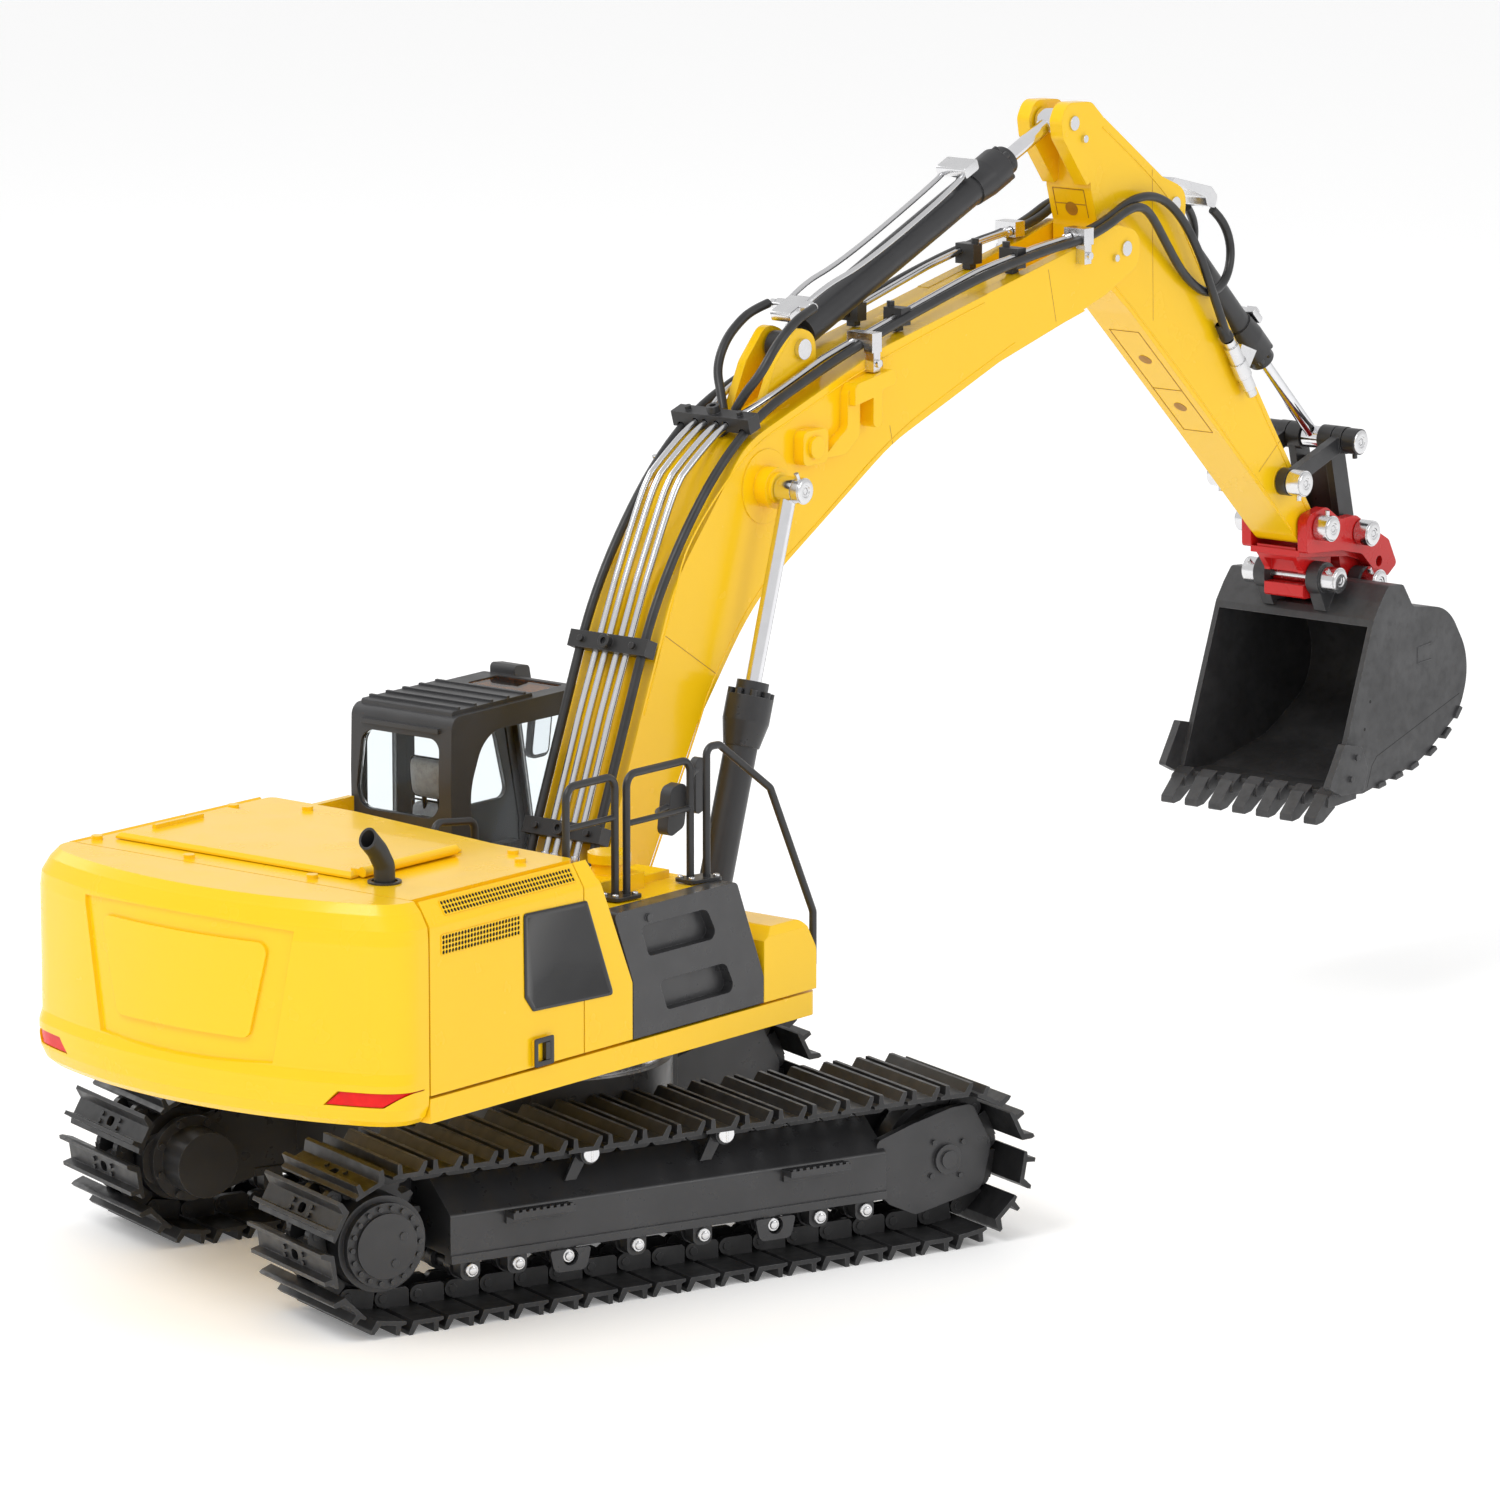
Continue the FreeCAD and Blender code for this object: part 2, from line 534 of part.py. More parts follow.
def hood():
    """Fixed roof of the engine house with the opening under the lid, and its front wall."""
    front = [(SEAM_X + 0.6, -HOOD_HALF + 3.4), (-82.5, -HOOD_HALF + 3.4, 3), (-80, -42, 3), (-67, 40, 4),
             (-66, HOOD_HALF - 3.4, 3), (SEAM_X + 0.6, HOOD_HALF - 3.4)]
    roof = slab(front, "z", HOOD_Z - 3, HOOD_Z)
    opening = box(LID_X0 + 4, LID_X1 - 4, LID_Y0 + 4, LID_Y1 - 4, HOOD_Z - 5, HOOD_Z + 1)
    wall = slab([(-84, -HOOD_HALF + 3.6), (-81.5, -HOOD_HALF + 3.6), (-81.5, -41), (-69, 40),
                 (-68, HOOD_HALF - 3.6),
                 (-71, HOOD_HALF - 3.6), (-72, 40), (-84, -40)], "z", DECK_Z, HOOD_Z - 2.5)
    shape = cut(fuse(roof, wall), opening)
    outlet = rod(5.0, V(*EXHAUST, HOOD_Z - 5), V(*EXHAUST, HOOD_Z + 2))
    bosses = [rod(2.2, V(x, y, HOOD_Z - 1), V(x, y, HOOD_Z + 1.6))
              for x, y in ((-168, 81), (-77, 55), (-100, -72), (-92, 80), (-90, -60), (-172, 30),
                           (-170, -30))]
    return cut(fuse(shape, *bosses), outlet)


def hood_lid():
    """Raised lid over the engine, hinged along its right edge."""
    lid = box(LID_X0, LID_X1, LID_Y0, LID_Y1, HOOD_Z + 0.3, HOOD_Z + 2.6)
    edges = [edge for edge in lid.Edges if edge.BoundBox.ZMin > HOOD_Z + 2.5]
    lid = lid.makeChamfer(1.4, edges)
    axle = V(0, LID_Y0 - 2.0, HOOD_Z + 2.4)
    bar = fuse(rod(2.0, axle + X * (LID_X0 + 4), axle + X * (LID_X1 - 6)),
               box(LID_X0 + 4, LID_X1 - 6, LID_Y0 - 2.0, LID_Y0 + 3.6, HOOD_Z + 0.8, HOOD_Z + 3.4))
    handle = box(LID_X0 + 14, LID_X1 - 22, LID_Y1 - 8, LID_Y1 - 6, HOOD_Z + 2, HOOD_Z + 4.2)
    return fuse(lid, bar, handle)


LATCH_ROOM = box(-117.2, -109.6, -95, -BODY_HALF, 103.8, 111.2)


def side_doors():
    """Right engine door with its latch frame, right front panel, and the left doors."""
    front = slab([(-81, 178), (-79, 168), (-59.4, 124), (-59.4, 98), (-40, 98), (-40, 178)], "y", 60, 110)
    low_side = [(BODY_HALF, DECK_Z + 0.6), (BODY_HALF, 165), (BODY_HALF - 3, 165),
                (BODY_HALF - 3, DECK_Z + 0.6)]
    latch_frame = cut(box(-118.4, -108.4, -94.4, -BODY_HALF, 102.6, 112.4), LATCH_ROOM)
    return [mirrored(slab(HOUSE_SIDE, "x", SEAM_X + 0.8, HOUSE_FRONT - 0.3)), latch_frame,
            mirrored(cut(slab(HOUSE_SIDE, "x", HOUSE_FRONT + 0.3, -55), front)),
            slab(HOUSE_SIDE, "x", SEAM_X + 0.8, -112.3), slab(HOUSE_SIDE, "x", -111.7, -68.3),
            slab(low_side, "x", -67.7, CAB_X0 - 2), box(-66, CAB_X0 - 2, 20, BODY_HALF - 3.2, 150, 153)]


def door_latch():
    """Sliding catch in the latch frame."""
    return box(-112.6, -110.0, -94.9, -BODY_HALF - 0.05, 104.2, 110.8)


def step_box():
    """Black side cover with two recessed steps."""
    side = [(-58.8, DECK_Z + 0.5), (-58.8, 124, 4), (-70.4, 152.4, 2), (3.8, 152.4, 3), (20.4, 112.4, 4),
            (20.4, DECK_Z + 0.5)]
    body = slab(side, "y", -BODY_HALF, -BODY_HALF + 8)
    upper = [(-54.5, 145, 2), (-14.5, 145, 5), (-7.4, 132.4, 3), (-49.5, 132.4, 3)]
    lower = [(-43.5, 121.8, 2), (-3.0, 121.8, 5), (3.4, 109.6, 3), (-38.5, 109.6, 3)]
    pockets = [slab(shape, "y", -BODY_HALF - 1, -BODY_HALF + 4.5) for shape in (upper, lower)]
    body = cut(body, *pockets)
    lock = disc(1.6, (-49.8, 147.6), -BODY_HALF - 1.0, -BODY_HALF + 0.5)
    return fuse(body, lock)


def front_tank():
    """Fuel tank behind the step box, the tool box in front of it, and the filler cap."""
    side = [(-57.5, DECK_Z + 0.4), (-57.5, 124), (-69, 151.8), (2.8, 151.8), (19.4, 112),
            (19.4, DECK_Z + 0.4)]
    tank = slab(side, "y", -BODY_HALF + 8.3, -44)
    tank = fuse(tank, box(-52, -24, -70, -48, 151, 158), box(-20, -4, -66, -50, 151, 155))
    neck = rod(7, V(-33, -60, 158), V(-33, -60, 162))
    cap = rod(8.4, V(-33, -60, 162.2), V(-33, -60, 166))
    tool = slab([(20.8, DECK_Z + 0.4), (20.8, 126), (28, 130.4, 3), (46, 130.4, 5),
                 (TANK_FRONT - 0.5, 118, 6),
                 (TANK_FRONT - 0.5, DECK_Z + 0.4)], "y", -BODY_HALF, -44)
    across = [(-BODY_HALF, DECK_Z + 0.4), (-BODY_HALF, 127.4), (-BODY_HALF + 3, 130.6), (-44, 130.6),
              (-44, DECK_Z + 0.4)]
    tool = tool.common(slab(across, "x", 20, TANK_FRONT))
    return [tank, neck, cap, tool]


RAIL_R = 1.5


def handrails():
    """Three bent guard rails on bolted foot plates, with cross bars."""
    top = 152.6
    rails = [tube([(-78, -76, 152.6), (-78, -76, 200), (-49, -76, 200), (-49, -76, top)], RAIL_R, 5),
             tube([(-44.5, -78, top), (-44.5, -78, 200), (-6, -78, 200), (-6, -78, top)], RAIL_R, 5),
             tube([(-1, -82, top), (-1, -82, 204.5), (6, -82.6, 204.5), (32, -87, 184), (57.6, -88, 131),
                   (57.6, -88, 110)], RAIL_R, 3.4)]
    bars = [rod(RAIL_R * 0.8, V(-77, -76, 184), V(-50, -76, 184)), rod(RAIL_R * 0.8, V(-43.5, -78, 181),
                                                                       V(-7, -78, 181)),
            rod(RAIL_R * 0.8, V(57.6, -88, 112), V(TANK_FRONT, -88, 112))]
    plates = [slab([(-54, -81, 2), (-40, -83, 2), (-40, -73, 2), (-54, -71, 2)], "z", 152.45, 153.8),
              slab([(-11, -83, 2), (4, -87, 2), (4, -77, 2), (-11, -73, 2)], "z", 152.45, 153.8),
              box(-81.2, -74, -80, -72, 152.45, 153.8)]
    guard = fuse(rails[0], bars[0])
    guard_two = fuse(rails[1], bars[1])
    guard_three = fuse(rails[2], bars[2])
    low_rail = tube([(-52, 12, 150), (-52, 12, 171), (-28, 12, 168), (-28, 12, 150)], RAIL_R, 4)
    return [guard, guard_two, guard_three, low_rail] + [cut(p, guard, guard_two,
                                                            guard_three) for p in plates]


def mirrors(rails):
    """Right mirrors on their arms at the guard rails, and the left mirror on the cab post."""
    shell = slab([(-12, 168, 3), (-1, 172, 3), (2, 190, 4), (-9, 188, 4)], "y", -71, -66)
    arm = tube([(-25, -78, 181), (-20, -73, 181.5), (-9, -69.5, 181)], 1.1)
    back = slab([(1, 176, 2), (9, 179, 2), (7, 198, 3), (1, 200, 3)], "y", -75, -72)
    arm_two = tube([(-6, -78, 192), (-1, -75.5, 194), (4, -73.6, 194)], 1.1)
    left = slab([(98, 163, 3), (110, 163, 4), (113, 184, 5), (101, 184, 4)], "y", 90, 93)
    left_arm = tube([(86.2, 89.4, 189), (91, 90.6, 194), (99, 91.5, 193), (104, 91.5, 182)], 1.0)
    return [cut(fuse(shell, arm), *rails), cut(fuse(back, arm_two), *rails), fuse(left, left_arm)]


def exhaust_pipe():
    """Curved stack with a slanted mouth, standing in a collar on the hood."""
    x, y = EXHAUST
    stack = tube([(x, y, 160), (x, y, 181), (x - 3.0, y + 0.8, 187), (x - 9.5, y + 2.6, 195)], 4.0, 6)
    bore = tube([(x, y, 176), (x, y, 181.5), (x - 3.0, y + 0.8, 187), (x - 11.3, y + 3.1, 197.2)], 3.1, 5.5)
    mouth = box(-9, 9, -12, 12, 0, 14)
    mouth.Placement = FreeCAD.Placement(V(x - 7.5, y + 2.1, 191.2), FreeCAD.Rotation(Y, -62))
    collar = cut(rod(6.4, V(x, y, HOOD_Z), V(x, y, HOOD_Z + 0.8)), rod(5.0, V(x, y, 170), V(x, y, 180)))
    return [cut(stack, bore, mouth), collar]


# ---- cab --------------------------------------------------------------------------------------
CAB_SIDE = [(CAB_X0, CAB_Z0, 3), (CAB_X0 - 0.8, 176, 6), (CAB_X0, CAB_Z1 - 1, 5), (76, CAB_Z1, 8),
            (88, 186, 10),
            (CAB_X1, 140, 6), (CAB_X1, CAB_Z0, 3)]
DOOR_SIDE = [(22, 110, 4), (22, 193, 8), (70, 193, 8), (81, 182, 8), (90, 140, 6), (90, 110, 4)]
DOOR_GLASS = [(27, 150, 4), (27, 188, 5), (68, 188, 5), (76, 179, 6), (84, 150, 4)]


def cab_windows(grow=0.0):
    """Blocks that cut the window openings; a negative grow gives the panes."""
    low, high = CAB_Y0 + 6.4 - grow, CAB_Y1 - 4 + grow
    rear = slab([(low + 3, 160.5 - grow, 6), (high - 1, 160.5 - grow, 6), (high + 1, 169, 6),
                 (high - 2, 192.6 + grow, 6),
                 (low, 192.6 + grow, 5), (low, 166, 5)], "x", CAB_X0 - 6, CAB_X0 + 8)
    right = slab([(5 - grow, 118 - grow, 6), (3 - grow, 172, 30), (12, 193.5 + grow, 16),
                  (72, 193.5 + grow, 8),
                  (82 + grow, 182, 8), (90 + grow, 140, 6), (90 + grow, 118 - grow, 6)], "y", CAB_Y0 - 4,
                  CAB_Y0 + 6)
    quarter = slab([(-2 - grow, 150 - grow, 4), (-2 - grow, 191 + grow, 6), (16 + grow, 191 + grow, 4),
                    (16 + grow, 150 - grow, 4)], "y", CAB_Y1 - 6, CAB_Y1 + 4)
    front = slab([(CAB_Y0 + 5 - grow, 126 - grow, 4), (CAB_Y1 - 5 + grow, 126 - grow, 4),
                  (CAB_Y1 - 6 + grow, 197 + grow, 6), (CAB_Y0 + 6 - grow, 197 + grow, 6)], "x", 74, 110)
    front = cut(front, box(60, 82, 0, 100, 193, 215))
    hatch = slab([(50 - grow, CAB_Y0 + 8 - grow, 2), (70 + grow, CAB_Y0 + 8 - grow, 2),
                  (70 + grow, CAB_Y1 - 10 + grow, 2),
                  (50 - grow, CAB_Y1 - 10 + grow, 2)], "z", 196, 215)
    return [rear, right, quarter, front, hatch]


def cab_frame():
    """Cab shell with window openings, ribbed roof and a door opening on the left."""
    inner = [(CAB_X0 + 3, CAB_Z0 + 3), (CAB_X0 + 2.5, CAB_Z1 - 4, 4), (75, CAB_Z1 - 3, 6), (85, 185, 8),
             (CAB_X1 - 3, 140, 5), (CAB_X1 - 3, CAB_Z0 + 3)]
    shell = cut(slab(CAB_SIDE, "y", CAB_Y0, CAB_Y1), slab(inner, "y", CAB_Y0 + 3, CAB_Y1 - 3))
    gap = [(p[0] + (0.5 if p[0] > 50 else -0.5), p[1] + (0.5 if p[1] > 150 else -0.5),
            p[2]) for p in DOOR_SIDE]
    shell = cut(shell, slab(gap, "y", CAB_Y1 - 5, CAB_Y1 + 3), *cab_windows())
    roof = [(CAB_X0 + 3, CAB_Z1 - 2), (CAB_X0 + 3, CAB_Z1 + 0.8, 1), (44, CAB_Z1 + 1.2, 1), (44, CAB_Z1 - 2)]
    ribs = [box(x, x + 1.6, CAB_Y0 + 3, CAB_Y1 - 3, CAB_Z1, CAB_Z1 + 1.9) for x in (-1, 9, 19, 29, 39)]
    lamp_box = slab([(73, CAB_Z1 - 1), (73, CAB_Z1 + 4, 2), (82, CAB_Z1 + 3, 2), (84, CAB_Z1 - 6)], "y",
                    CAB_Y1 - 16, CAB_Y1 - 3)
    mounts = [rod(4, V(x, y, DECK_Z - 0.5), V(x, y, CAB_Z0)) for x in (4, 86) for y in (CAB_Y0 + 8,
                                                                                        CAB_Y1 - 8)]
    console = box(62, 84, CAB_Y0 + 5, CAB_Y0 + 12, CAB_Z0 + 3, CAB_Z0 + 36)
    ridge = slab([(CAB_Y0 + 6, 195), (CAB_Y1 - 6, 195), (CAB_Y1 - 6, 197), (CAB_Y0 + 6, 197)], "x",
                 CAB_X0 - 1.6, CAB_X0 + 1)
    return [fuse(shell, slab(roof, "y", CAB_Y0 + 2.5, CAB_Y1 - 2.5), lamp_box, ridge, *ribs),
            console] + mounts


def cab_glass():
    """Clear panes of rear, right side, left quarter and windscreen, and the tinted roof hatch."""
    rear, right, quarter, front, hatch = cab_windows(-0.2)
    screen = [(76, 202), (86, 186), (95.2, 140), (95.2, 118), (96.2, 118), (96.2, 140.2), (87, 186.4),
              (77, 202.4)]
    return [rear.common(box(CAB_X0 + 1.0, CAB_X0 + 2.2, 0, 100, 100, 220)),
            right.common(box(-60, 110, CAB_Y0 + 1.0, CAB_Y0 + 2.2, 100, 220)),
            quarter.common(box(-60, 110, CAB_Y1 - 2.2, CAB_Y1 - 1.0, 100, 220)),
            front.common(slab(screen, "y", 0, 100)),
            hatch.common(box(-60, 110, 0, 100, CAB_Z1 - 2, CAB_Z1 - 0.6))]


def cab_door():
    """Left door with a grab handle and the barrels of its hinges."""
    outer = CAB_Y1
    frame = cut(slab(DOOR_SIDE, "y", outer - 2.6, outer), slab(DOOR_GLASS, "y", outer - 4, outer + 1))
    handle = tube([(80, outer - 0.2, 122), (80, outer + 3, 122), (80, outer + 3, 142),
                   (80, outer - 0.2, 142)], 0.9, 1.6)
    hinges = [rod(1.2, V(21.2, outer + 1.4, z), V(21.2, outer + 1.4, z + 8)) for z in (118, 178)]
    lugs = [box(21.2, 27, outer + 0.3, outer + 1.9, z + 1, z + 7) for z in (118, 178)]
    lugs += [box(22.4, 27, outer - 0.5, outer + 0.4, z + 1, z + 7) for z in (118, 178)]
    return fuse(frame, handle, *hinges, *lugs)


def door_glass():
    return slab(DOOR_GLASS, "y", CAB_Y1 - 2.0, CAB_Y1 - 0.8)


def operator_seat():
    """Seat on its pedestal with backrest, headrest and two armrest consoles."""
    pedestal = slab([(17, 109.2), (45, 109.2), (41, 126), (21, 126)], "y", 54, 78)
    cushion = slab([(13, 126.3, 3), (47, 126.3, 3), (48, 135, 3), (13, 133, 3)], "y", 52, 80)
    back = slab([(11, 133.4, 3), (21, 133.6, 3), (15, 163, 3), (7, 163, 2)], "y", 53, 79)
    head = slab([(6, 164.4, 2), (12.5, 164.4, 2), (11, 178, 2), (5, 178, 2)], "y", 57, 75)
    post = rod(1.2, V(9.4, 66, 161), V(9, 66, 166))
    arms = [box(15, 41, y, y + 5, 140, 145) for y in (46.5, 80.4)]
    return [pedestal, cushion, fuse(back, head, post)] + arms


# ---- power and control inside the engine house ------------------------------------------------
def battery_pack():
    pack = slab([(-168, 8, 3), (-104, 8, 3), (-104, 58, 3), (-168, 58, 3)], "z", DECK_Z - 0.5, 138)
    plug = box(-104, -97, 28, 38, 124, 132)
    return fuse(pack, plug)


def pump_unit():
    """Brushless motor driving a gear pump block."""
    motor = rod(17, V(-160, -26, 121), V(-118, -26, 121))
    block = box(-118, -98, -40, -12, 106, 136)
    ports = [rod(3, V(-108, y, 136), V(-108, y, 142)) for y in (-33, -19)]
    cradle = box(-156, -124, -38, -14, DECK_Z - 0.5, 108)
    return fuse(motor, block, cradle, *ports)


def oil_tank():
    tank = slab([(-172, -86, 3), (-128, -86, 3), (-128, -48, 3), (-172, -48, 3)], "z", DECK_Z - 0.5, 150)
    hatch = rod(5, V(-140, -58, 150), V(-140, -58, 154))
    return fuse(tank, hatch)


def valve_block():
    """Proportional valve stack with one servo on each spool."""
    block = box(-68, -44, -38, 14, DECK_Z - 0.5, 122)
    spools = [rod(2, V(-68, -32 + 10 * index, 112), V(-72, -32 + 10 * index, 112)) for index in range(5)]
    servos = [box(-65, -46, -36 + 10 * index, -27.6 + 10 * index, 122, 138) for index in range(5)]
    return [fuse(block, *spools)] + servos


def receiver():
    board = box(-120, -92, 62, 84, 118, 120)
    case = box(-118, -94, 64, 82, 120, 131)
    post = [box(x, x + 4, y, y + 4, DECK_Z - 0.5, 118) for x, y in ((-119, 63), (-97, 79))]
    return fuse(board, case, *post)


def slew_motor():
    body = rod(11, V(PINION_X, 0, DECK_Z - 0.5), V(PINION_X, 0, 126))
    flange = rod(14, V(PINION_X, 0, DECK_Z - 0.5), V(PINION_X, 0, DECK_Z + 2.5))
    return cut(fuse(body, flange), rod(3, V(PINION_X, 0, 96), V(PINION_X, 0, 106)))


# ---- boom -------------------------------------------------------------------------------------
BOOM_LINE = [(9, 131, 10), (37, 201), (58, 252, 90), (104, 303, 40), (190, 330.5, 60), (288, 350.2),
             (330, 330.6),
             (281, 319.6), (198, 291, 120), (110, 240.5, 130), (73, 195), (34, 127, 11), (20, 121, 8)]
FORK_LINE = [(262, 345.2), (322, 357.2, 20), (352, 364.5, 8), (369, 360, 9), (368, 346, 9), (345, 336, 14),
             (318, 328, 20), (262, 313.8)]
FORK_IN = 12.4


def hollow_slab(points, half, wall):
    """A closed box of plates: the outline extruded across the arm, with its inside taken out."""
    solid = slab(points, "y", -half, half)
    face = Part.Face(outline(points, lambda p: V(p.x, -half + wall, p.y)))
    inside = face.makeOffset2D(-wall).extrude(Y * (2 * half - 2 * wall))
    return cut(solid, inside)


def boom():
    """Welded box boom with the fork at its tip, side bosses, cylinder ears and tool hook bracket."""
    box_part = hollow_slab(BOOM_LINE, BOOM_HALF, PLATE)
    fork = both(slab(FORK_LINE, "y", FORK_IN, BOOM_HALF))
    foot = disc(11.5, BOOM_FOOT, -BOOM_HALF, BOOM_HALF)
    eye = CYLINDER_Y - 4.2
    bosses = []
    for side in (-1, 1):
        ring = disc(15, BOOM_EYE, *sorted((side * (BOOM_HALF - 1), side * (BOOM_HALF + 0.5))))
        stub = disc(8.2, BOOM_EYE, *sorted((side * (BOOM_HALF - 1), side * (eye - 1.6))))
        step = disc(6.4, BOOM_EYE, *sorted((side * (eye - 2), side * (eye - 0.1))))
        bosses.extend([ring, stub, step])
    ear_line = [(118, 300), (133, 330, 8), (STICK_BASE[0] - 3, STICK_BASE[1] + 9.5, 8),
                (STICK_BASE[0] + 9.5, STICK_BASE[1] + 5, 8), (STICK_BASE[0] + 10, 322, 4), (182, 322)]
    ears = both(slab(ear_line, "y", 5.6, 9.4))
    bracket = slab([(134, 290, 3), (150, 290, 3), (150, 304, 3), (134, 304, 3)], "y", -BOOM_HALF - 5,
                   -BOOM_HALF + 1)
    cap = disc(4.6, (141.7, 297), -BOOM_HALF - 6.5, -BOOM_HALF - 4)
    arm = slab([(148, 291.5), (163, 291.5, 3), (172, 298, 3), (172, 318, 3), (164, 318, 3), (164, 302, 3),
                (158, 298.5)],
               "y", -BOOM_HALF - 4, -BOOM_HALF + 1)
    hook = slab([(165, 311), (165, 319.5, 3), (192, 323.5, 3), (192, 317, 2), (183, 315.5), (183, 301, 3),
                 (177, 300, 3), (177, 313)], "y", -BOOM_HALF - 7, -BOOM_HALF + 1)
    shape = fuse(box_part, *fork, foot, *bosses, *ears, bracket, cap, arm, hook)
    shape = cut(shape, disc(5 + FIT, BOOM_FOOT, -30, 30), disc(3, ARM_TIP, -30, 30))
    return shape


def boom_pins():
    """Pins that the boom carries: both rod eyes of its cylinders, the stick pin, keepers and stubs."""
    solids = [fuse(disc(3.0, ARM_TIP, -BOOM_HALF, BOOM_HALF), *both(disc(3.2, ARM_TIP, BOOM_HALF,
                                                                         BOOM_HALF + 0.9)))]
    eye, outer = CYLINDER_Y - 4.3, CYLINDER_Y + 4.3
    screw = rod(1.0, V(BOOM_EYE[0] - 2, outer + 1.6, BOOM_EYE[1] + 4.6), V(BOOM_EYE[0] - 3.4, outer + 1.6,
                                                                           BOOM_EYE[1] + 7.4))
    solids += both(fuse(disc(3.0, BOOM_EYE, eye, outer), disc(5.3, BOOM_EYE, outer, outer + 3.2), screw))
    solids += both(disc(1.5, (350.4, 350.6), BOOM_HALF, BOOM_HALF + 1.6))
    solids += both(disc(4.2, STICK_BASE, 9.4, 11.6))
    return solids + hose_clips()


PIPE_R, HOSE_R = 1.5, 1.9
PIPE_ROWS = (2.9, 7.7)     # the inner and the outer pipe of each side, from the centre line
HOSE_ROW = 15.6
LINE_UP = [(8.6, 146), (31.4, 203.2), (52.8, 255.0), (100.5, 308.2)]      # 6 mm off the boom's back edge
PIPE_LINE = [(8.6, 146), (31.4, 203.2), (53.5, 253.0), (72.0, 289.0), (80, 295.3), (100.5, 308.2)]
OUTER_HOSE = [(-2, -15.6, 108), (1, -15.6, 126)] + [(x, -HOSE_ROW, z) for x, z in LINE_UP] + [
    (160, -15.6, 328), (208, -15.8, 340.5), (262, -17, 353), (300, -19, 359), (325, -20.2, 361),
    (341, -20.4, 364.8),
    (356, -20.4, 370.6), (366, -20.2, 371), (375, -19, 366.3), (387, -17, 354.6), (399, -15.2, 342.8),
    (413, -14, 334.6),
    (429, -13.6, 328.8), (443, -12, 329.0), (453, -10.2, 337), (452, -8.6, 348.5), (443, -7.4, 357.0),
    (436.6, -6.6, 361.2)]
TOP_PIPE = [(113.5, -7.9, 312.2), (125, -11.7, 317.5), (160, -11.9, 329.6), (208, -11.9, 341),
            (262, -12.8, 354),
            (300, -14.7, 360), (331, -15.6, 362.8)]
INNER_HOSE = [(321.8, -15.34, 361.95), (331, -15.6, 362.8), (346, -16, 366.2), (362, -16.6, 373.2),
              (375.6, -17, 374.5),
              (389.6, -16.5, 370.5), (401.5, -17, 360.8), (411.4, -17.9, 346.7), (420.6, -17.9, 330),
              (429.9, -16.8, 315.9), (436.6, -15.6, 306.1)]
BASE_HOSE = [(115.4, -2.9, 312.9), (117.2, -5.6, 319), (121.5, -11.4, 328), (129, -12.9, 338.5),
             (140, -12.9, 346),
             (148, -12.4, 349), (155, -11.6, 350.5)]


def pipe_runs():
    """Routes of the four steel pipes up the boom: the outer two go on along its top."""
    inner = [(x, -PIPE_ROWS[0], z) for x, z in PIPE_LINE + [(113, 312.0)]]
    outer = [(x, -PIPE_ROWS[1], z) for x, z in PIPE_LINE] + TOP_PIPE[:-1] + [(321.6, -15.33, 361.93)]
    return [[(x, y * side, z) for x, y, z in run] for side in (1, -1) for run in (inner, outer)]


def boom_pipes():
    """Steel pipes with a stepped fitting at the lower end and a ring at the upper end."""
    solids = []
    down = V(-0.37, 0, -0.93)
    for run in pipe_runs():
        foot, top = V(*run[0]), V(*run[-1])
        back = (V(*run[-2]) - top).normalize()
        parts = [tube(run, PIPE_R, 9), rod(2.0, foot - down * 4, foot), rod(1.9, foot, foot + down * 3),
                 rod(1.3, foot + down * 3, foot + down * 5), rod(1.9, foot + down * 5, foot + down * 8)]
        solids.append(fuse(*parts, rod(1.9, top, top + back * 3)))
    return solids


def clamp_bar(spot, tilt):
    """Bar across the boom on a foot, with a centre screw and two small bolts."""
    parts = [box(-3.4, 3.4, -19.6, 19.6, -3.0, 3.4), box(-2.6, 2.6, -4.0, 4.0, -5.95, -2.9),
             rod(2.7, V(0, 0, 3.2), V(0, 0, 6.4))] + [rod(1.3, V(0, y, 3.2), V(0, y, 5.0)) for y in (-13.1,
                                                                                                     13.1)]
    bar = fuse(*parts).cut(rod(1.4, V(0, 0, 5.0), V(0, 0, 7)))
    bar.Placement = FreeCAD.Placement(V(spot[0], 0, spot[1]), FreeCAD.Rotation(Y, -tilt))
    return bar


def pipe_tools():
    """Blocks a little larger than the pipes and hoses, to make room for them in their clamps."""
    tools = [tube(run, PIPE_R + 0.06, 9) for run in pipe_runs()]
    return tools + both(tube(OUTER_HOSE[:13], HOSE_R + 0.06)) + both(tube(INNER_HOSE[:4], HOSE_R + 0.06))


def boom_clamps():
    """Three bars on the boom's back and two pairs of small clamps on its top."""
    solids = [clamp_bar((13.6, 158.6), 68.3), clamp_bar((42.0, 228.9), 67.6),
              clamp_bar((106.8, 310.2), 17.7)]
    for x, z, top in ((210, 335.2, 344.9), (288, 350.2, 361.0)):
        block = fuse(box(x - 3, x + 3, -16.0, -6.6, z + 2.4, top), box(x - 2, x + 2, -13, -9, z + 0.05,
                                                                       z + 3),
                     rod(1.6, V(x, -8.0, top - 0.5), V(x, -8.0, top + 2.2)))
        solids += both(block)
    return [cut(solid, *pipe_tools()) for solid in solids]


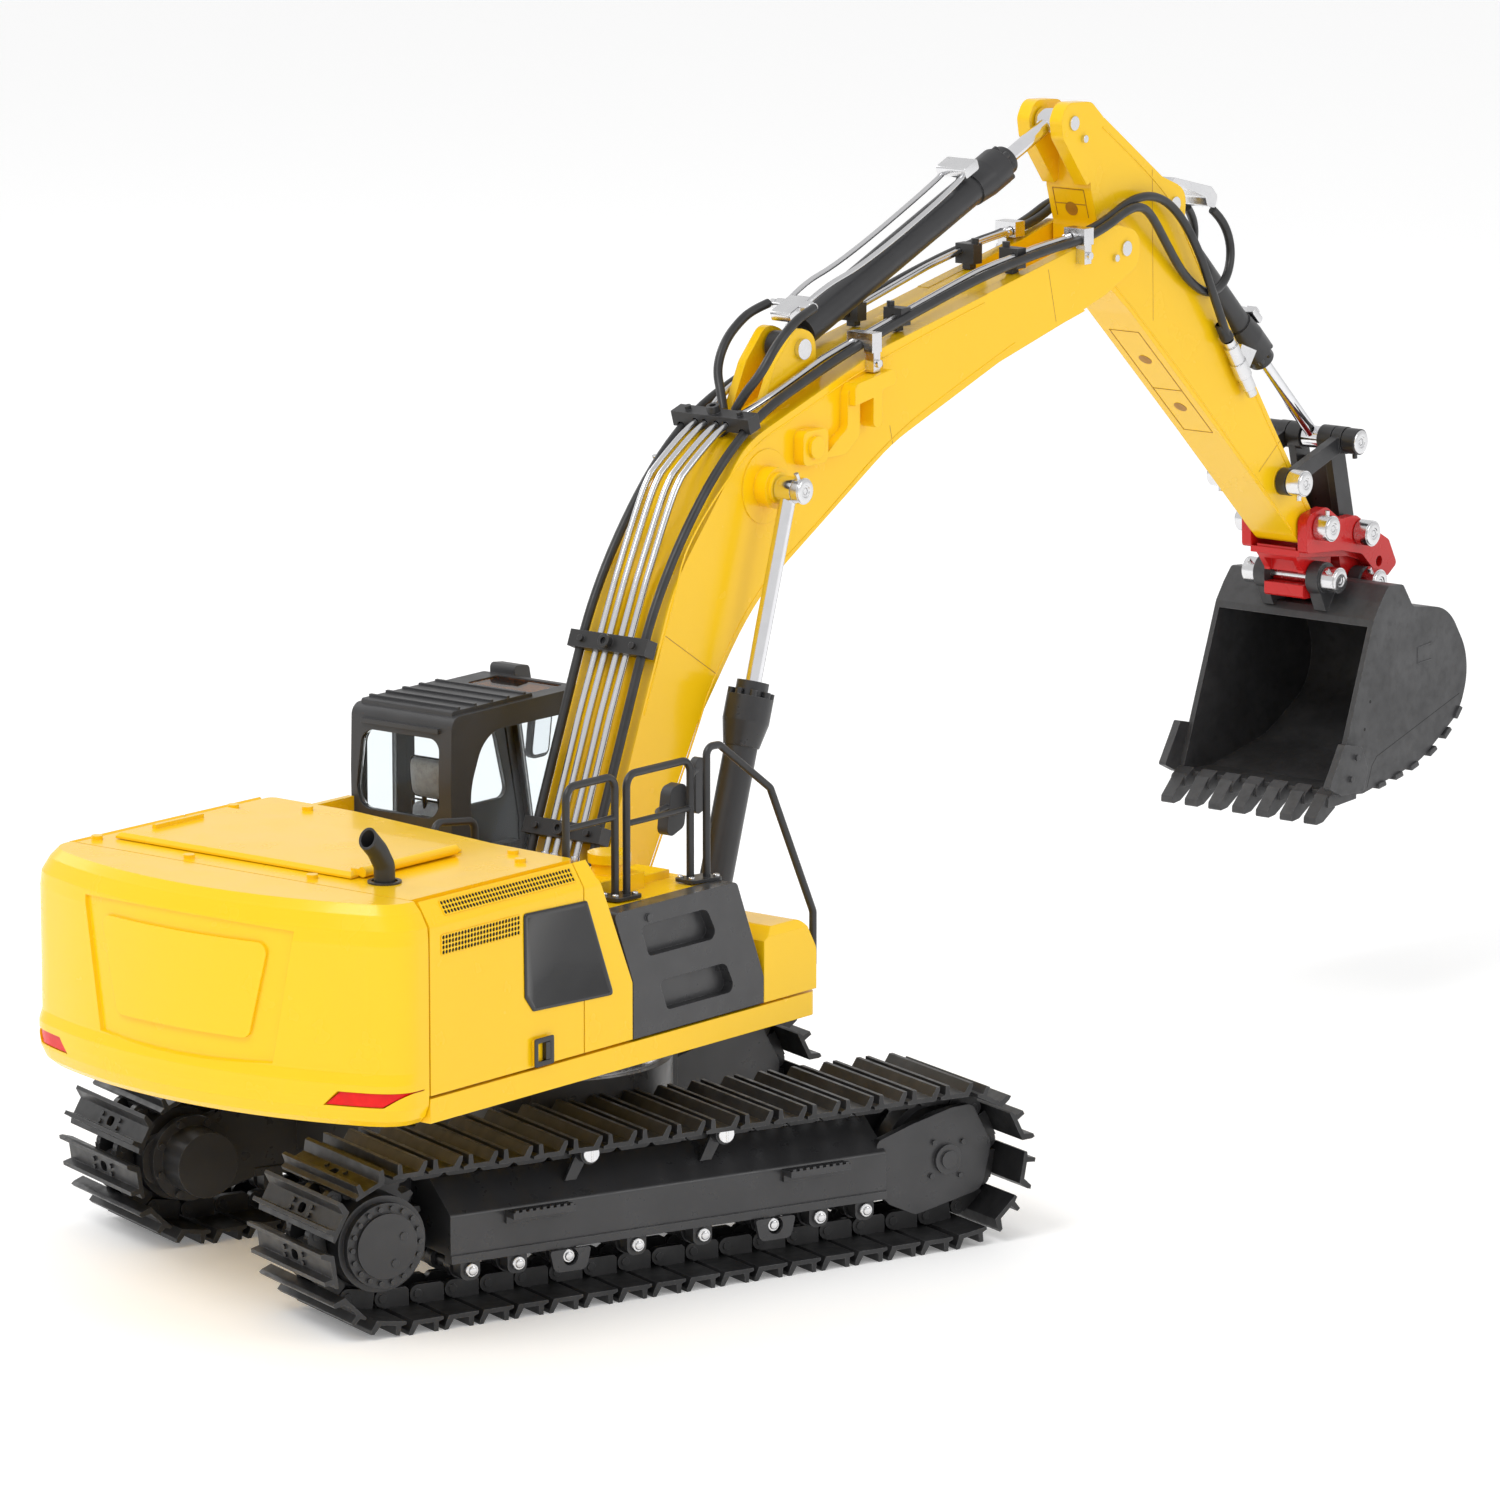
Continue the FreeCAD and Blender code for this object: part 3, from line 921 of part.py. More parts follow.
def hose_clips():
    """Bright clips that hold pipe and hose at the edge of the boom, two on each side."""
    tip = fuse(box(322, 328.6, -23.0, -12.6, 359.0, 366.0), box(323, 327.6, -22.6, -18.05, 351, 359.5),
               rod(1.6, V(325.3, -22.6, 354.5), V(325.3, -24.2, 354.5)))
    tip = cut(tip, box(318, 334, -18.02, 0, 350, 359.6))
    low = fuse(box(179.4, 185.6, -22.4, -9.4, 330.4, 338.4), box(180.4, 184.6, -22.4, -18.05, 322.5, 331),
               rod(1.6, V(182.5, -22.2, 326), V(182.5, -24, 326)))
    low = cut(low, box(170, 195, -18.02, 0, 320, 333.2))
    return [cut(clip, *pipe_tools()) for clip in both(tip) + both(low)]


def arm_hoses():
    """Black hoses: up the boom and over to the stick, and up to the foot of the stick cylinder."""
    return both(tube(OUTER_HOSE, HOSE_R)) + both(tube(INNER_HOSE, HOSE_R)) + both(tube(BASE_HOSE, HOSE_R))


# ---- cylinders --------------------------------------------------------------------------------
def cylinder_pair(base, eye, y, gland, sizes):
    """Rod with its eye and piston, and barrel with its base eye and bolted collar.

    base and eye are the pivots, gland the distance from base to the barrel's mouth.
    """
    barrel_r, collar_r, rod_r, eye_r, eye_half, bore_r, base_r, start, piston_at = sizes
    reach = math.dist(base, eye)
    at = lambda distance: V(toward(base, eye, distance)[0], y, toward(base, eye, distance)[1])
    eye_ring = disc(eye_r, eye, y - eye_half, y + eye_half)
    shank = rod(rod_r, at(piston_at + 2), at(reach - eye_r + 1))
    piston = rod(barrel_r - 1.6, at(piston_at), at(piston_at + 6))
    rod_piece = cut(fuse(eye_ring, shank, piston), disc(bore_r + FIT, eye, y - eye_half - 1,
                                                        y + eye_half + 1))
    body = rod(barrel_r, at(start), at(gland - 22))
    collar = Part.makeCone(barrel_r + 0.6, collar_r, 10, at(gland - 26), at(10) - at(0))
    flange = rod(collar_r, at(gland - 16), at(gland - 6))
    nose = rod(rod_r + 3.2, at(gland - 7), at(gland))
    base_eye = disc(base_r, base, y - eye_half + 0.2, y + eye_half - 0.2)
    neck = rod(eye_half - 0.7, at(2), at(start + 1))
    barrel = fuse(base_eye, neck, body, collar, flange, nose)
    direction = at(1) - at(0)
    side = direction.cross(Y)
    for index in range(8):
        angle = math.radians(45 * index)
        out = Y * math.cos(angle) + side * math.sin(angle)
        centre = at(gland - 6) + out * (collar_r - 1.5)
        barrel = barrel.fuse(rod(1.5, centre, centre + direction * 2.4))
    bore = rod(barrel_r - 1.5, at(start + 3), at(gland - 8))
    mouth = rod(rod_r + 0.06, at(gland - 10), at(gland + 3))
    return rod_piece, cut(barrel, bore, mouth)


BOOM_CYLINDER = dict(gland=108, sizes=(6.7, 9.4, 3.3, 5.3, 4.0, 3.0, 6.4, 16, 52))
STICK_CYLINDER = dict(gland=160, sizes=(6.8, 8.4, 3.2, 5.6, 4.4, 3.0, 6.4, 13, 46))
BUCKET_CYLINDER = dict(gland=112, sizes=(6.0, 7.6, 2.8, 4.9, 4.2, 2.6, 5.2, 13, 42))


# ---- stick ------------------------------------------------------------------------------------
STICK_LINE = [(342, 380, 3), (342, 409.4, 4), (351, 409, 4), (399, 376, 10), (412, 355, 12), (476, 265, 40),
              (513, 214.5, 8), (501, 207, 7), (494, 213, 6), (438, 264.5), (372, 324, 40), (352, 340, 12),
              (347, 352, 6), (346.8, 365, 6)]


TROUGH_R = 9.0              # hollow in the stick's back for the bucket cylinder


def stick():
    """Box stick with the ears of its cylinder on the nose and of the bucket cylinder on the back."""
    shape = hollow_slab(STICK_LINE, STICK_HALF, PLATE)
    top_ear = [(339.2, 381.6), (322.4, 402.5, 3), (321, 410, 4), (325, 417.4, 7), (342, 416.4, 7),
               (352, 408, 4), (346, 384)]
    back_ear = [(378, 386), (404.5, 375.6), (410.2, 367.5), (409, 350), (398, 350)]
    ears = both(slab(top_ear, "y", 5.2, STICK_HALF)) + both(slab(back_ear, "y", 5.2, STICK_HALF))
    ears += both(disc(8.2, BUCKET_BASE, 5.2, STICK_HALF))
    gap = box(312, 341.8, -5.2, 5.2, 375, 420)
    bushes = [disc(10.5, ARM_TIP, -STICK_HALF - 0.5, STICK_HALF + 0.5), disc(7.4, STICK_END,
                                                                             -STICK_HALF - 0.3, STICK_HALF + 0.3),
              disc(6.2, ROCKER, -STICK_HALF - 0.3, STICK_HALF + 0.3)]
    clear_base = disc(14, STICK_EYE, -5.2, 5.2)
    clear_bucket = disc(9.5, BUCKET_BASE, -5.2, 5.2)
    base = V(BUCKET_BASE[0], 0, BUCKET_BASE[1])
    line = (V(KNUCKLE[0], 0, KNUCKLE[1]) - base).normalize()
    liner = rod(TROUGH_R + 1.4, base + line * 8, base + line * 68).common(slab(STICK_LINE, "y",
                                                                               -STICK_HALF, STICK_HALF))
    trough = rod(TROUGH_R, base + line * 7, base + line * 66)
    shape = cut(fuse(shape, liner, *bushes), clear_base, clear_bucket, gap)
    shape = cut(fuse(shape, *ears), trough)
    return cut(shape, disc(3 + FIT, ARM_TIP, -20, 20), disc(2.6 + FIT, STICK_END, -20, 20),
               disc(2.6, ROCKER, -20, 20),
               disc(3.0, STICK_EYE, -20, 20))


def pin_with_heads(centre, radius, head_r, inner, outer, screw):
    """A pin with a silver head at each end and a small cross screw through each head."""
    shape = disc(radius, centre, -inner, inner)
    for side in (-1, 1):
        shape = shape.fuse(disc(head_r, centre, *sorted((side * inner, side * outer))))
        middle = side * (inner + outer) / 2
        start = V(centre[0] + screw[0] * (head_r - 0.8), middle, centre[1] + screw[1] * (head_r - 0.8))
        end = V(centre[0] + screw[0] * (head_r + 2.0), middle, centre[1] + screw[1] * (head_r + 2.0))
        shape = shape.fuse(rod(1.1, start, end))
    return shape.removeSplitter()


HEAD_IN, HEAD_OUT = 17.6, 24.0


def connector():
    """Hose connector on the right side of the stick, in a clamp on the stick's back edge."""
    down = V(0.577, 0, -0.817)
    start = V(*INNER_HOSE[-1]) + down * 0.4
    parts = [rod(radius, start + down * low, start + down * high)
             for radius, low, high in ((2.6, 0, 3), (3.3, 3, 12), (3.8, 12, 20), (3.2, 20, 27),
                                       (2.4, 27, 31))]
    lug = slab([(447, 303), (458, 299), (452, 291), (444, 296)], "y", -15.6, -STICK_HALF - 0.02)
    return fuse(*parts, lug)


def stick_fittings():
    """Pins and keepers of the stick, stubs of the bucket cylinder's base, and the hose connectors."""
    solids = [disc(3.0, STICK_EYE, -STICK_HALF - 0.9, STICK_HALF + 0.9),
              pin_with_heads(ROCKER, 2.6, 5.7, HEAD_IN, HEAD_OUT, (0.0, -1.0))]
    solids += both(disc(3.2, BUCKET_BASE, STICK_HALF, STICK_HALF + 1))
    solids += both(disc(1.6, (336.4, 401.4), STICK_HALF, STICK_HALF + 1.6))
    solids += both(connector())
    plate = [(405, 376.4), (407, 378), (434, 371.5, 2), (438.5, 367, 2), (436.5, 362, 1), (431, 363.5, 1),
             (429.5, 367.5, 2)]
    return solids + [slab(plate, "y", -8, 8)]


# ---- bucket linkage ---------------------------------------------------------------------------
PLATE_IN, PLATE_OUT = 12.4, 17.2


def strap(start, end, r0, r1, waist, low, high):
    """A flat link with round ends."""
    length = math.dist(start, end)
    nx, nz = (end[1] - start[1]) / length, -(end[0] - start[0]) / length
    sides = [(start[0] + nx * waist, start[1] + nz * waist), (end[0] + nx * waist, end[1] + nz * waist),
             (end[0] - nx * waist, end[1] - nz * waist), (start[0] - nx * waist, start[1] - nz * waist)]
    return fuse(slab(sides, "y", low, high), disc(r0, start, low, high), disc(r1, end, low, high))


def rocker():
    """The two rocker plates and the pin at their free end."""
    plates = []
    for side in (-1, 1):
        plate = strap(ROCKER, KNUCKLE, 6.0, 6.0, 3.6, *sorted((side * PLATE_IN, side * (PLATE_OUT - 0.8))))
        bosses = [disc(6.0, spot, *sorted((side * PLATE_IN, side * PLATE_OUT))) for spot in (ROCKER,
                                                                                             KNUCKLE)]
        plate = cut(fuse(plate, *bosses), disc(2.6 + FIT, ROCKER, -20, 20), disc(2.6, KNUCKLE, -20, 20))
        plates.append(plate)
    return plates + [pin_with_heads(KNUCKLE, 2.6, 5.7, HEAD_IN, HEAD_OUT, (0.1, -0.99))]


def link():
    """Cast link between rocker pin and coupler: two ears above, a web, one wide boss below."""
    ears = both(disc(6.0, KNUCKLE, 4.9, STICK_HALF + 0.3))
    cheeks = both(strap(KNUCKLE, COUPLER_REAR, 5.6, 5.4, 5.2, 7.6, STICK_HALF - 0.3))
    web_top = toward(KNUCKLE, COUPLER_REAR, 11)
    web = strap(web_top, COUPLER_REAR, 1.6, 5.4, 1.5, -STICK_HALF + 0.3, STICK_HALF - 0.3)
    boss = disc(5.6, COUPLER_REAR, -STICK_HALF, STICK_HALF)
    shape = fuse(*ears, *cheeks, web, boss)
    return cut(shape, disc(2.6 + FIT, KNUCKLE, -20, 20), disc(5.2, COUPLER_REAR, -20, 20),
               disc(5.4, KNUCKLE, -4.9, 4.9))


def coupler():
    """Quick coupler: side plates round the stick end and link, and a body with two pin hooks."""
    side_line = [(495.5, 205.5, 2), (495, 222, 5), (510, 224.5, 6), (521, 217.5, 4), (533, 217.8, 6),
                 (545, 211, 5),
                 (559, 203.5, 4), (565.5, 192, 2), (558.5, 187.5, 2), (550.5, 189, 3), (538, 200, 6),
                 (522, 203.5, 8)]
    plates = both(slab(side_line, "y", PLATE_IN, PLATE_OUT))
    front = [(497, 207.2), (524, 203.5), (524, 197), (518.5, 193), (518.5, 183.5, 2), (503, 183.5, 2),
             (503, 196), (497, 203)]
    neck = slab(front, "y", -10.3, 10.3)
    bridge = slab([(496, 203.4), (496, 206.2), (545, 200.8), (545, 195.4), (533, 199)], "y",
                  -PLATE_IN - 0.5, PLATE_IN + 0.5)
    rear = slab([(530, 200.5), (546, 198.5), (551, 190, 3), (549, 180.6, 3), (536, 180.6, 3),
                 (533.5, 188, 3)], "y", -10.3, 10.3)
    tail = slab([(545, 199), (557, 203), (563, 192), (553, 190)], "y", -PLATE_IN - 0.5, PLATE_IN + 0.5)
    pocket = slab([(500, 200, 1), (521, 200, 1), (521, 195, 1), (500, 195, 1)], "y", -7.2, 7.2)
    shape = fuse(*plates, neck, bridge, rear, tail)
    window = slab([(-7.5, 192), (7.5, 192), (7.5, 201), (-7.5, 201)], "x", 494, 504.5)
    holes = [disc(2.6, spot, -30, 30) for spot in (STICK_END, COUPLER_REAR, PIN_FRONT, PIN_REAR)]
    hook_hole = disc(2.4, (551.5, 194.8), -30, 30)
    swing = disc(8.8, STICK_END, -PLATE_IN, PLATE_IN)
    hook = box(500, PIN_FRONT[0], -11, 11, 189.6, 195.0)
    return cut(shape, window, hook, *holes, hook_hole, swing, disc(7.5, COUPLER_REAR, -PLATE_IN, PLATE_IN))


def coupler_pins():
    """Pins of stick end and link, and the two bucket pins in the coupler's hooks."""
    return [pin_with_heads(STICK_END, 2.6, 5.7, HEAD_IN, HEAD_OUT, (0.05, 0.99)),
            fuse(*[disc(2.6, COUPLER_REAR, *sorted((side * PLATE_IN, side * HEAD_IN))).fuse(
                disc(5.7, COUPLER_REAR, *sorted((side * HEAD_IN, side * HEAD_OUT)))) for side in (1,)]),
            fuse(*[disc(2.6, COUPLER_REAR, *sorted((side * PLATE_IN, side * HEAD_IN))).fuse(
                disc(5.7, COUPLER_REAR, *sorted((side * HEAD_IN, side * HEAD_OUT)))) for side in (-1,)]),
            pin_with_heads(PIN_FRONT, 2.6, 5.7, HEAD_IN, HEAD_OUT, (-0.7, 0.7)),
            pin_with_heads(PIN_REAR, 2.6, 5.7, HEAD_IN, HEAD_OUT, (-0.5, 0.86))]


# ---- bucket -----------------------------------------------------------------------------------
BUCKET_HALF = 42.0
BUCKET_LINE = [(511.5, 176.5), (517, 184, 2), (523, 190.5, 3), (534, 189.5, 3), (542, 178.5, 4),
               (570, 174.5, 24),
               (588.5, 148, 26), (580, 126, 22), (549, 108.2, 40), (505, 100.8, 4), (484, 102.6),
               (484.6, 105.4)]


def bucket():
    """Bucket shell: curved wrapper, two side plates, pin ears and wear strips."""
    outer = slab(BUCKET_LINE, "y", -BUCKET_HALF, BUCKET_HALF)
    cavity_line = [(470, 105.4), (506, 103.4, 4), (547, 111, 38), (577.6, 127.6, 20), (585.6, 148, 23.5),
                   (568, 171.6, 21), (541, 175.5, 6), (512, 173.6), (490, 173.6)]
    cavity = slab(cavity_line, "y", -BUCKET_HALF + 2.5, BUCKET_HALF - 2.5)
    top_hollow = slab([(519, 182.5), (524.5, 187.6), (532.5, 187), (539.5, 177.4), (519, 176.4)], "y",
                      -BUCKET_HALF + 2.5, BUCKET_HALF - 2.5)
    shell = cut(outer, cavity, top_hollow)
    ears = []
    for side in (-1, 1):
        low, high = sorted((side * 10.9, side * 16.9))
        front = fuse(disc(7.4, PIN_FRONT, low, high), slab([(505, 190), (511, 178), (536, 182),
                                                            (525, 190)], "y", low, high))
        back = fuse(disc(6.2, PIN_REAR, low, high), slab([(527, 188), (536, 189), (548, 185), (552, 176),
                                                          (538, 178)], "y", low, high))
        ears.extend([front, back, disc(6.2, PIN_FRONT, *sorted((side * 16.5, side * 17.4))),
                     disc(5.6, PIN_REAR, *sorted((side * 16.5, side * 17.4)))])
    notch = box(500, 552, -10.9, 10.9, 179.4, 192)
    shape = fuse(shell, *ears)
    shape = cut(shape, notch, disc(2.6, PIN_FRONT, -30, 30), disc(2.6, PIN_REAR, -30, 30))
    heads = [disc(5.9, PIN_REAR, *sorted((side * (HEAD_IN - 0.1),
                                          side * (HEAD_OUT + 0.1)))) for side in (-1, 1)]
    shape = cut(shape, *heads)
    return shape


def bucket_teeth():
    """Seven teeth in their adapters on the lip, and the bolted side cutters."""
    solids = []
    for index in range(7):
        y = -38 + 38 * index / 3
        adapter = cut(slab([(500, 99.4), (500, 102), (497, 106.8, 1), (487, 107.4, 2), (479, 103, 2),
                            (478, 98.6, 1), (486, 98.6, 2)],
                           "y", y - 4.0, y + 4.0),
                      slab(BUCKET_LINE, "y", -50, 50))
        tip = slab([(479.6, 104), (470.2, 95.2, 1), (470.0, 92.0, 1), (476.0, 92.6, 2), (485, 97.6),
                    (486, 100.5)], "y", y - 3.1, y + 3.1)
        solids.append(fuse(adapter, tip))
    cutter = [(482.5, 121, 1), (485.6, 126, 1), (498.6, 123, 1), (503.5, 112.5, 1), (500.5, 103.2, 1),
              (484, 103.4, 1), (474.0, 108, 1)]
    cutter_solid = slab(cutter, "y", BUCKET_HALF + 0.02, BUCKET_HALF + 3.6)
    bolts = [disc(1.3, spot, BUCKET_HALF + 3, BUCKET_HALF + 5) for spot in ((490, 110), (494, 119))]
    solids.extend(both(fuse(cutter_solid, *bolts)))
    return solids


# ---- all pieces -------------------------------------------------------------------------------
def build():
    pins = chain_pins()
    pitch = math.dist(pins[0], pins[1])
    one_shoe, one_link = shoe(pitch), link_plates(pitch)
    boom_rod, boom_barrel = cylinder_pair(BOOM_BASE, BOOM_EYE, -CYLINDER_Y, **BOOM_CYLINDER)
    stick_rod, stick_barrel = cylinder_pair(STICK_BASE, STICK_EYE, 0, **STICK_CYLINDER)
    bucket_rod, bucket_barrel = cylinder_pair(BUCKET_BASE, KNUCKLE, 0, **BUCKET_CYLINDER)
    lower = {"center_frame": centre_frame(), "track_rollers": rollers(), "frame_fittings": frame_fittings(),
             "track_motors": track_motors(), "swing_gear": swing_gear()}
    for name, side in (("right", -1), ("left", 1)):
        lower["side_frame_" + name] = side_frame(side)
        lower["sprocket_" + name] = sprocket(side)
        lower["idler_" + name] = idler(side)
        lower["track_shoes_" + name] = on_links(one_shoe, pins, side)
        lower["track_links_" + name] = [p for plate in one_link for p in on_links(plate, pins, side)]
    rails = handrails()
    upper = {"swing_bearing": swing_bearing(), "deck_frame": deck_frame(), "counterweight": counterweight(),
             "tail_lamps": tail_lamps(), "hood": hood(), "hood_lid": hood_lid(), "side_doors": side_doors(),
             "door_latch": door_latch(), "step_box": step_box(), "front_tank": front_tank(),
             "handrails": rails, "mirrors": mirrors(rails), "exhaust_pipe": exhaust_pipe(),
             "cab_frame": cab_frame(), "cab_glass": cab_glass(), "cab_door": cab_door(),
             "door_glass": door_glass(),
             "operator_seat": operator_seat(), "battery_pack": battery_pack(), "pump_unit": pump_unit(),
             "oil_system": [oil_tank()] + valve_block(), "receiver": receiver(),
             "slew_motor": slew_motor(), "slew_pinion": slew_pinion(), "boom": boom(),
             "boom_pins": boom_pins(),
             "boom_pipes": boom_pipes(), "boom_clamps": boom_clamps(), "arm_hoses": arm_hoses(),
             "boom_rod_right": boom_rod, "boom_barrel_right": boom_barrel,
             "boom_rod_left": mirrored(boom_rod), "boom_barrel_left": mirrored(boom_barrel),
             "stick": stick(), "stick_fittings": stick_fittings(), "stick_rod": stick_rod,
             "stick_barrel": stick_barrel,
             "bucket_rod": bucket_rod, "bucket_barrel": bucket_barrel, "rocker": rocker(), "link": link(),
             "coupler": coupler(), "coupler_pins": coupler_pins(), "bucket": bucket(),
             "bucket_teeth": bucket_teeth()}
    return lower, upper


def main():
    os.makedirs("parts", exist_ok=True)
    lower, upper = build()
    for name, shape in list(lower.items()) + list(upper.items()):
        pieces = shape if isinstance(shape, list) else [shape]
        whole = Part.makeCompound(pieces) if len(pieces) > 1 else pieces[0]
        if name in upper:
            whole.rotate(V(0, 0, 0), Z, SLEW_ANGLE)
        whole.exportStep(os.path.join("parts", name + ".step"))
        print(name, len(whole.Solids), "solids", round(whole.Volume / 1000, 2), "cm3",
              "ok" if whole.isValid() else "INVALID")


main()
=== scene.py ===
"""Looks of the 1:16 remote control excavator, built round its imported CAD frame."""
import json
import math

import bmesh
import bpy
from mathutils import Matrix, Vector


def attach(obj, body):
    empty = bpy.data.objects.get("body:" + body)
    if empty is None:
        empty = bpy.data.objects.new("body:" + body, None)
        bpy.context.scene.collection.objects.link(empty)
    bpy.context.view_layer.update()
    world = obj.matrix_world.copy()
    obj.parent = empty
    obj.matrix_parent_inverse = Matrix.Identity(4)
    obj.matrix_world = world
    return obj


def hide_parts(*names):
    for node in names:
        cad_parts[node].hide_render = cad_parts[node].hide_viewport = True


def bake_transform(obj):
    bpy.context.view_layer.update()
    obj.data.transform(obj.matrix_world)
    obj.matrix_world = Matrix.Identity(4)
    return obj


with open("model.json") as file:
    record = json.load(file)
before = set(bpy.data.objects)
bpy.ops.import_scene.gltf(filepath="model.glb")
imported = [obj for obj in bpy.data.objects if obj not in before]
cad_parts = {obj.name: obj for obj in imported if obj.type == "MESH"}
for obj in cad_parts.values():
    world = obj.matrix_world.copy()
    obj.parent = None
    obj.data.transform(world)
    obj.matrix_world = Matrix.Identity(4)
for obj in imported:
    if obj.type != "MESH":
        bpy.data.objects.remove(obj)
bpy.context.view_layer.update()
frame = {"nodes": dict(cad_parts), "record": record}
nodes = frame["nodes"]
MM = 0.001
SLEW = math.radians(20.26)
TURN = Matrix.Rotation(SLEW, 4, "Z")
UPPER = Matrix.Scale(MM, 4) @ TURN          # upper structure's millimetres to metres in the row frame
LOWER = Matrix.Scale(MM, 4)


# ---- camera, light and floor ------------------------------------------------------------------
LENS, SENSOR = 194.68, 36           # millimetres, fitted to the photograph
CAMERA_PLACE = (-1.5366, -2.6933, 0.8059)
CAMERA_AIM = (0.50801, 0.83923, -0.19394)
FAR_CLIP = 50
FLOOR = 30                          # half the side of the paper floor


def make_camera():
    data = bpy.data.cameras.new("camera")
    data.lens = LENS
    data.sensor_width = SENSOR
    data.clip_end = FAR_CLIP
    camera = bpy.data.objects.new("camera", data)
    bpy.context.scene.collection.objects.link(camera)
    camera.location = CAMERA_PLACE
    camera.rotation_euler = Vector(CAMERA_AIM).to_track_quat("-Z", "Y").to_euler()
    bpy.context.scene.camera = camera


def area_light(name, place, target, size, power):
    data = bpy.data.lights.new(name, "AREA")
    data.shape = "DISK"
    data.size = size
    data.energy = power
    lamp = bpy.data.objects.new(name, data)
    bpy.context.scene.collection.objects.link(lamp)
    lamp.location = place
    lamp.rotation_euler = (Vector(target) - Vector(place)).to_track_quat("-Z", "Y").to_euler()


def make_stage():
    mesh = bpy.data.meshes.new("floor")
    corners = [(-FLOOR, -FLOOR, 0), (FLOOR, -FLOOR, 0), (FLOOR, FLOOR, 0), (-FLOOR, FLOOR, 0)]
    mesh.from_pydata(corners, [], [(0, 1, 2, 3)])
    floor = bpy.data.objects.new("floor", mesh)
    bpy.context.scene.collection.objects.link(floor)
    paper = bpy.data.materials.new("paper")
    paper.use_nodes = True
    shader = paper.node_tree.nodes["Principled BSDF"]
    shader.inputs["Base Color"].default_value = (0.97, 0.97, 0.97, 1)
    shader.inputs["Roughness"].default_value = 0.55
    shader.inputs["Specular IOR Level"].default_value = 0.2
    shader.inputs["Emission Color"].default_value = (1, 1, 1, 1)
    shader.inputs["Emission Strength"].default_value = 0.16
    mesh.materials.append(paper)
    world = bpy.data.worlds.new("studio")
    world.use_nodes = True
    world.node_tree.nodes["Background"].inputs["Color"].default_value = (1, 1, 1, 1)
    world.node_tree.nodes["Background"].inputs["Strength"].default_value = 0.80
    bpy.context.scene.world = world
    bpy.context.scene.view_settings.view_transform = "Standard"


make_camera()
make_stage()
area_light("key", (-1.6, -0.6, 2.4), (0.05, 0.0, 0.15), 1.3, 27)
area_light("side", (1.6, -2.2, 1.3), (0.15, 0.0, 0.15), 1.2, 9)
area_light("rear", (-0.6, 2.2, 1.6), (0.1, 0.0, 0.2), 1.4, 10)


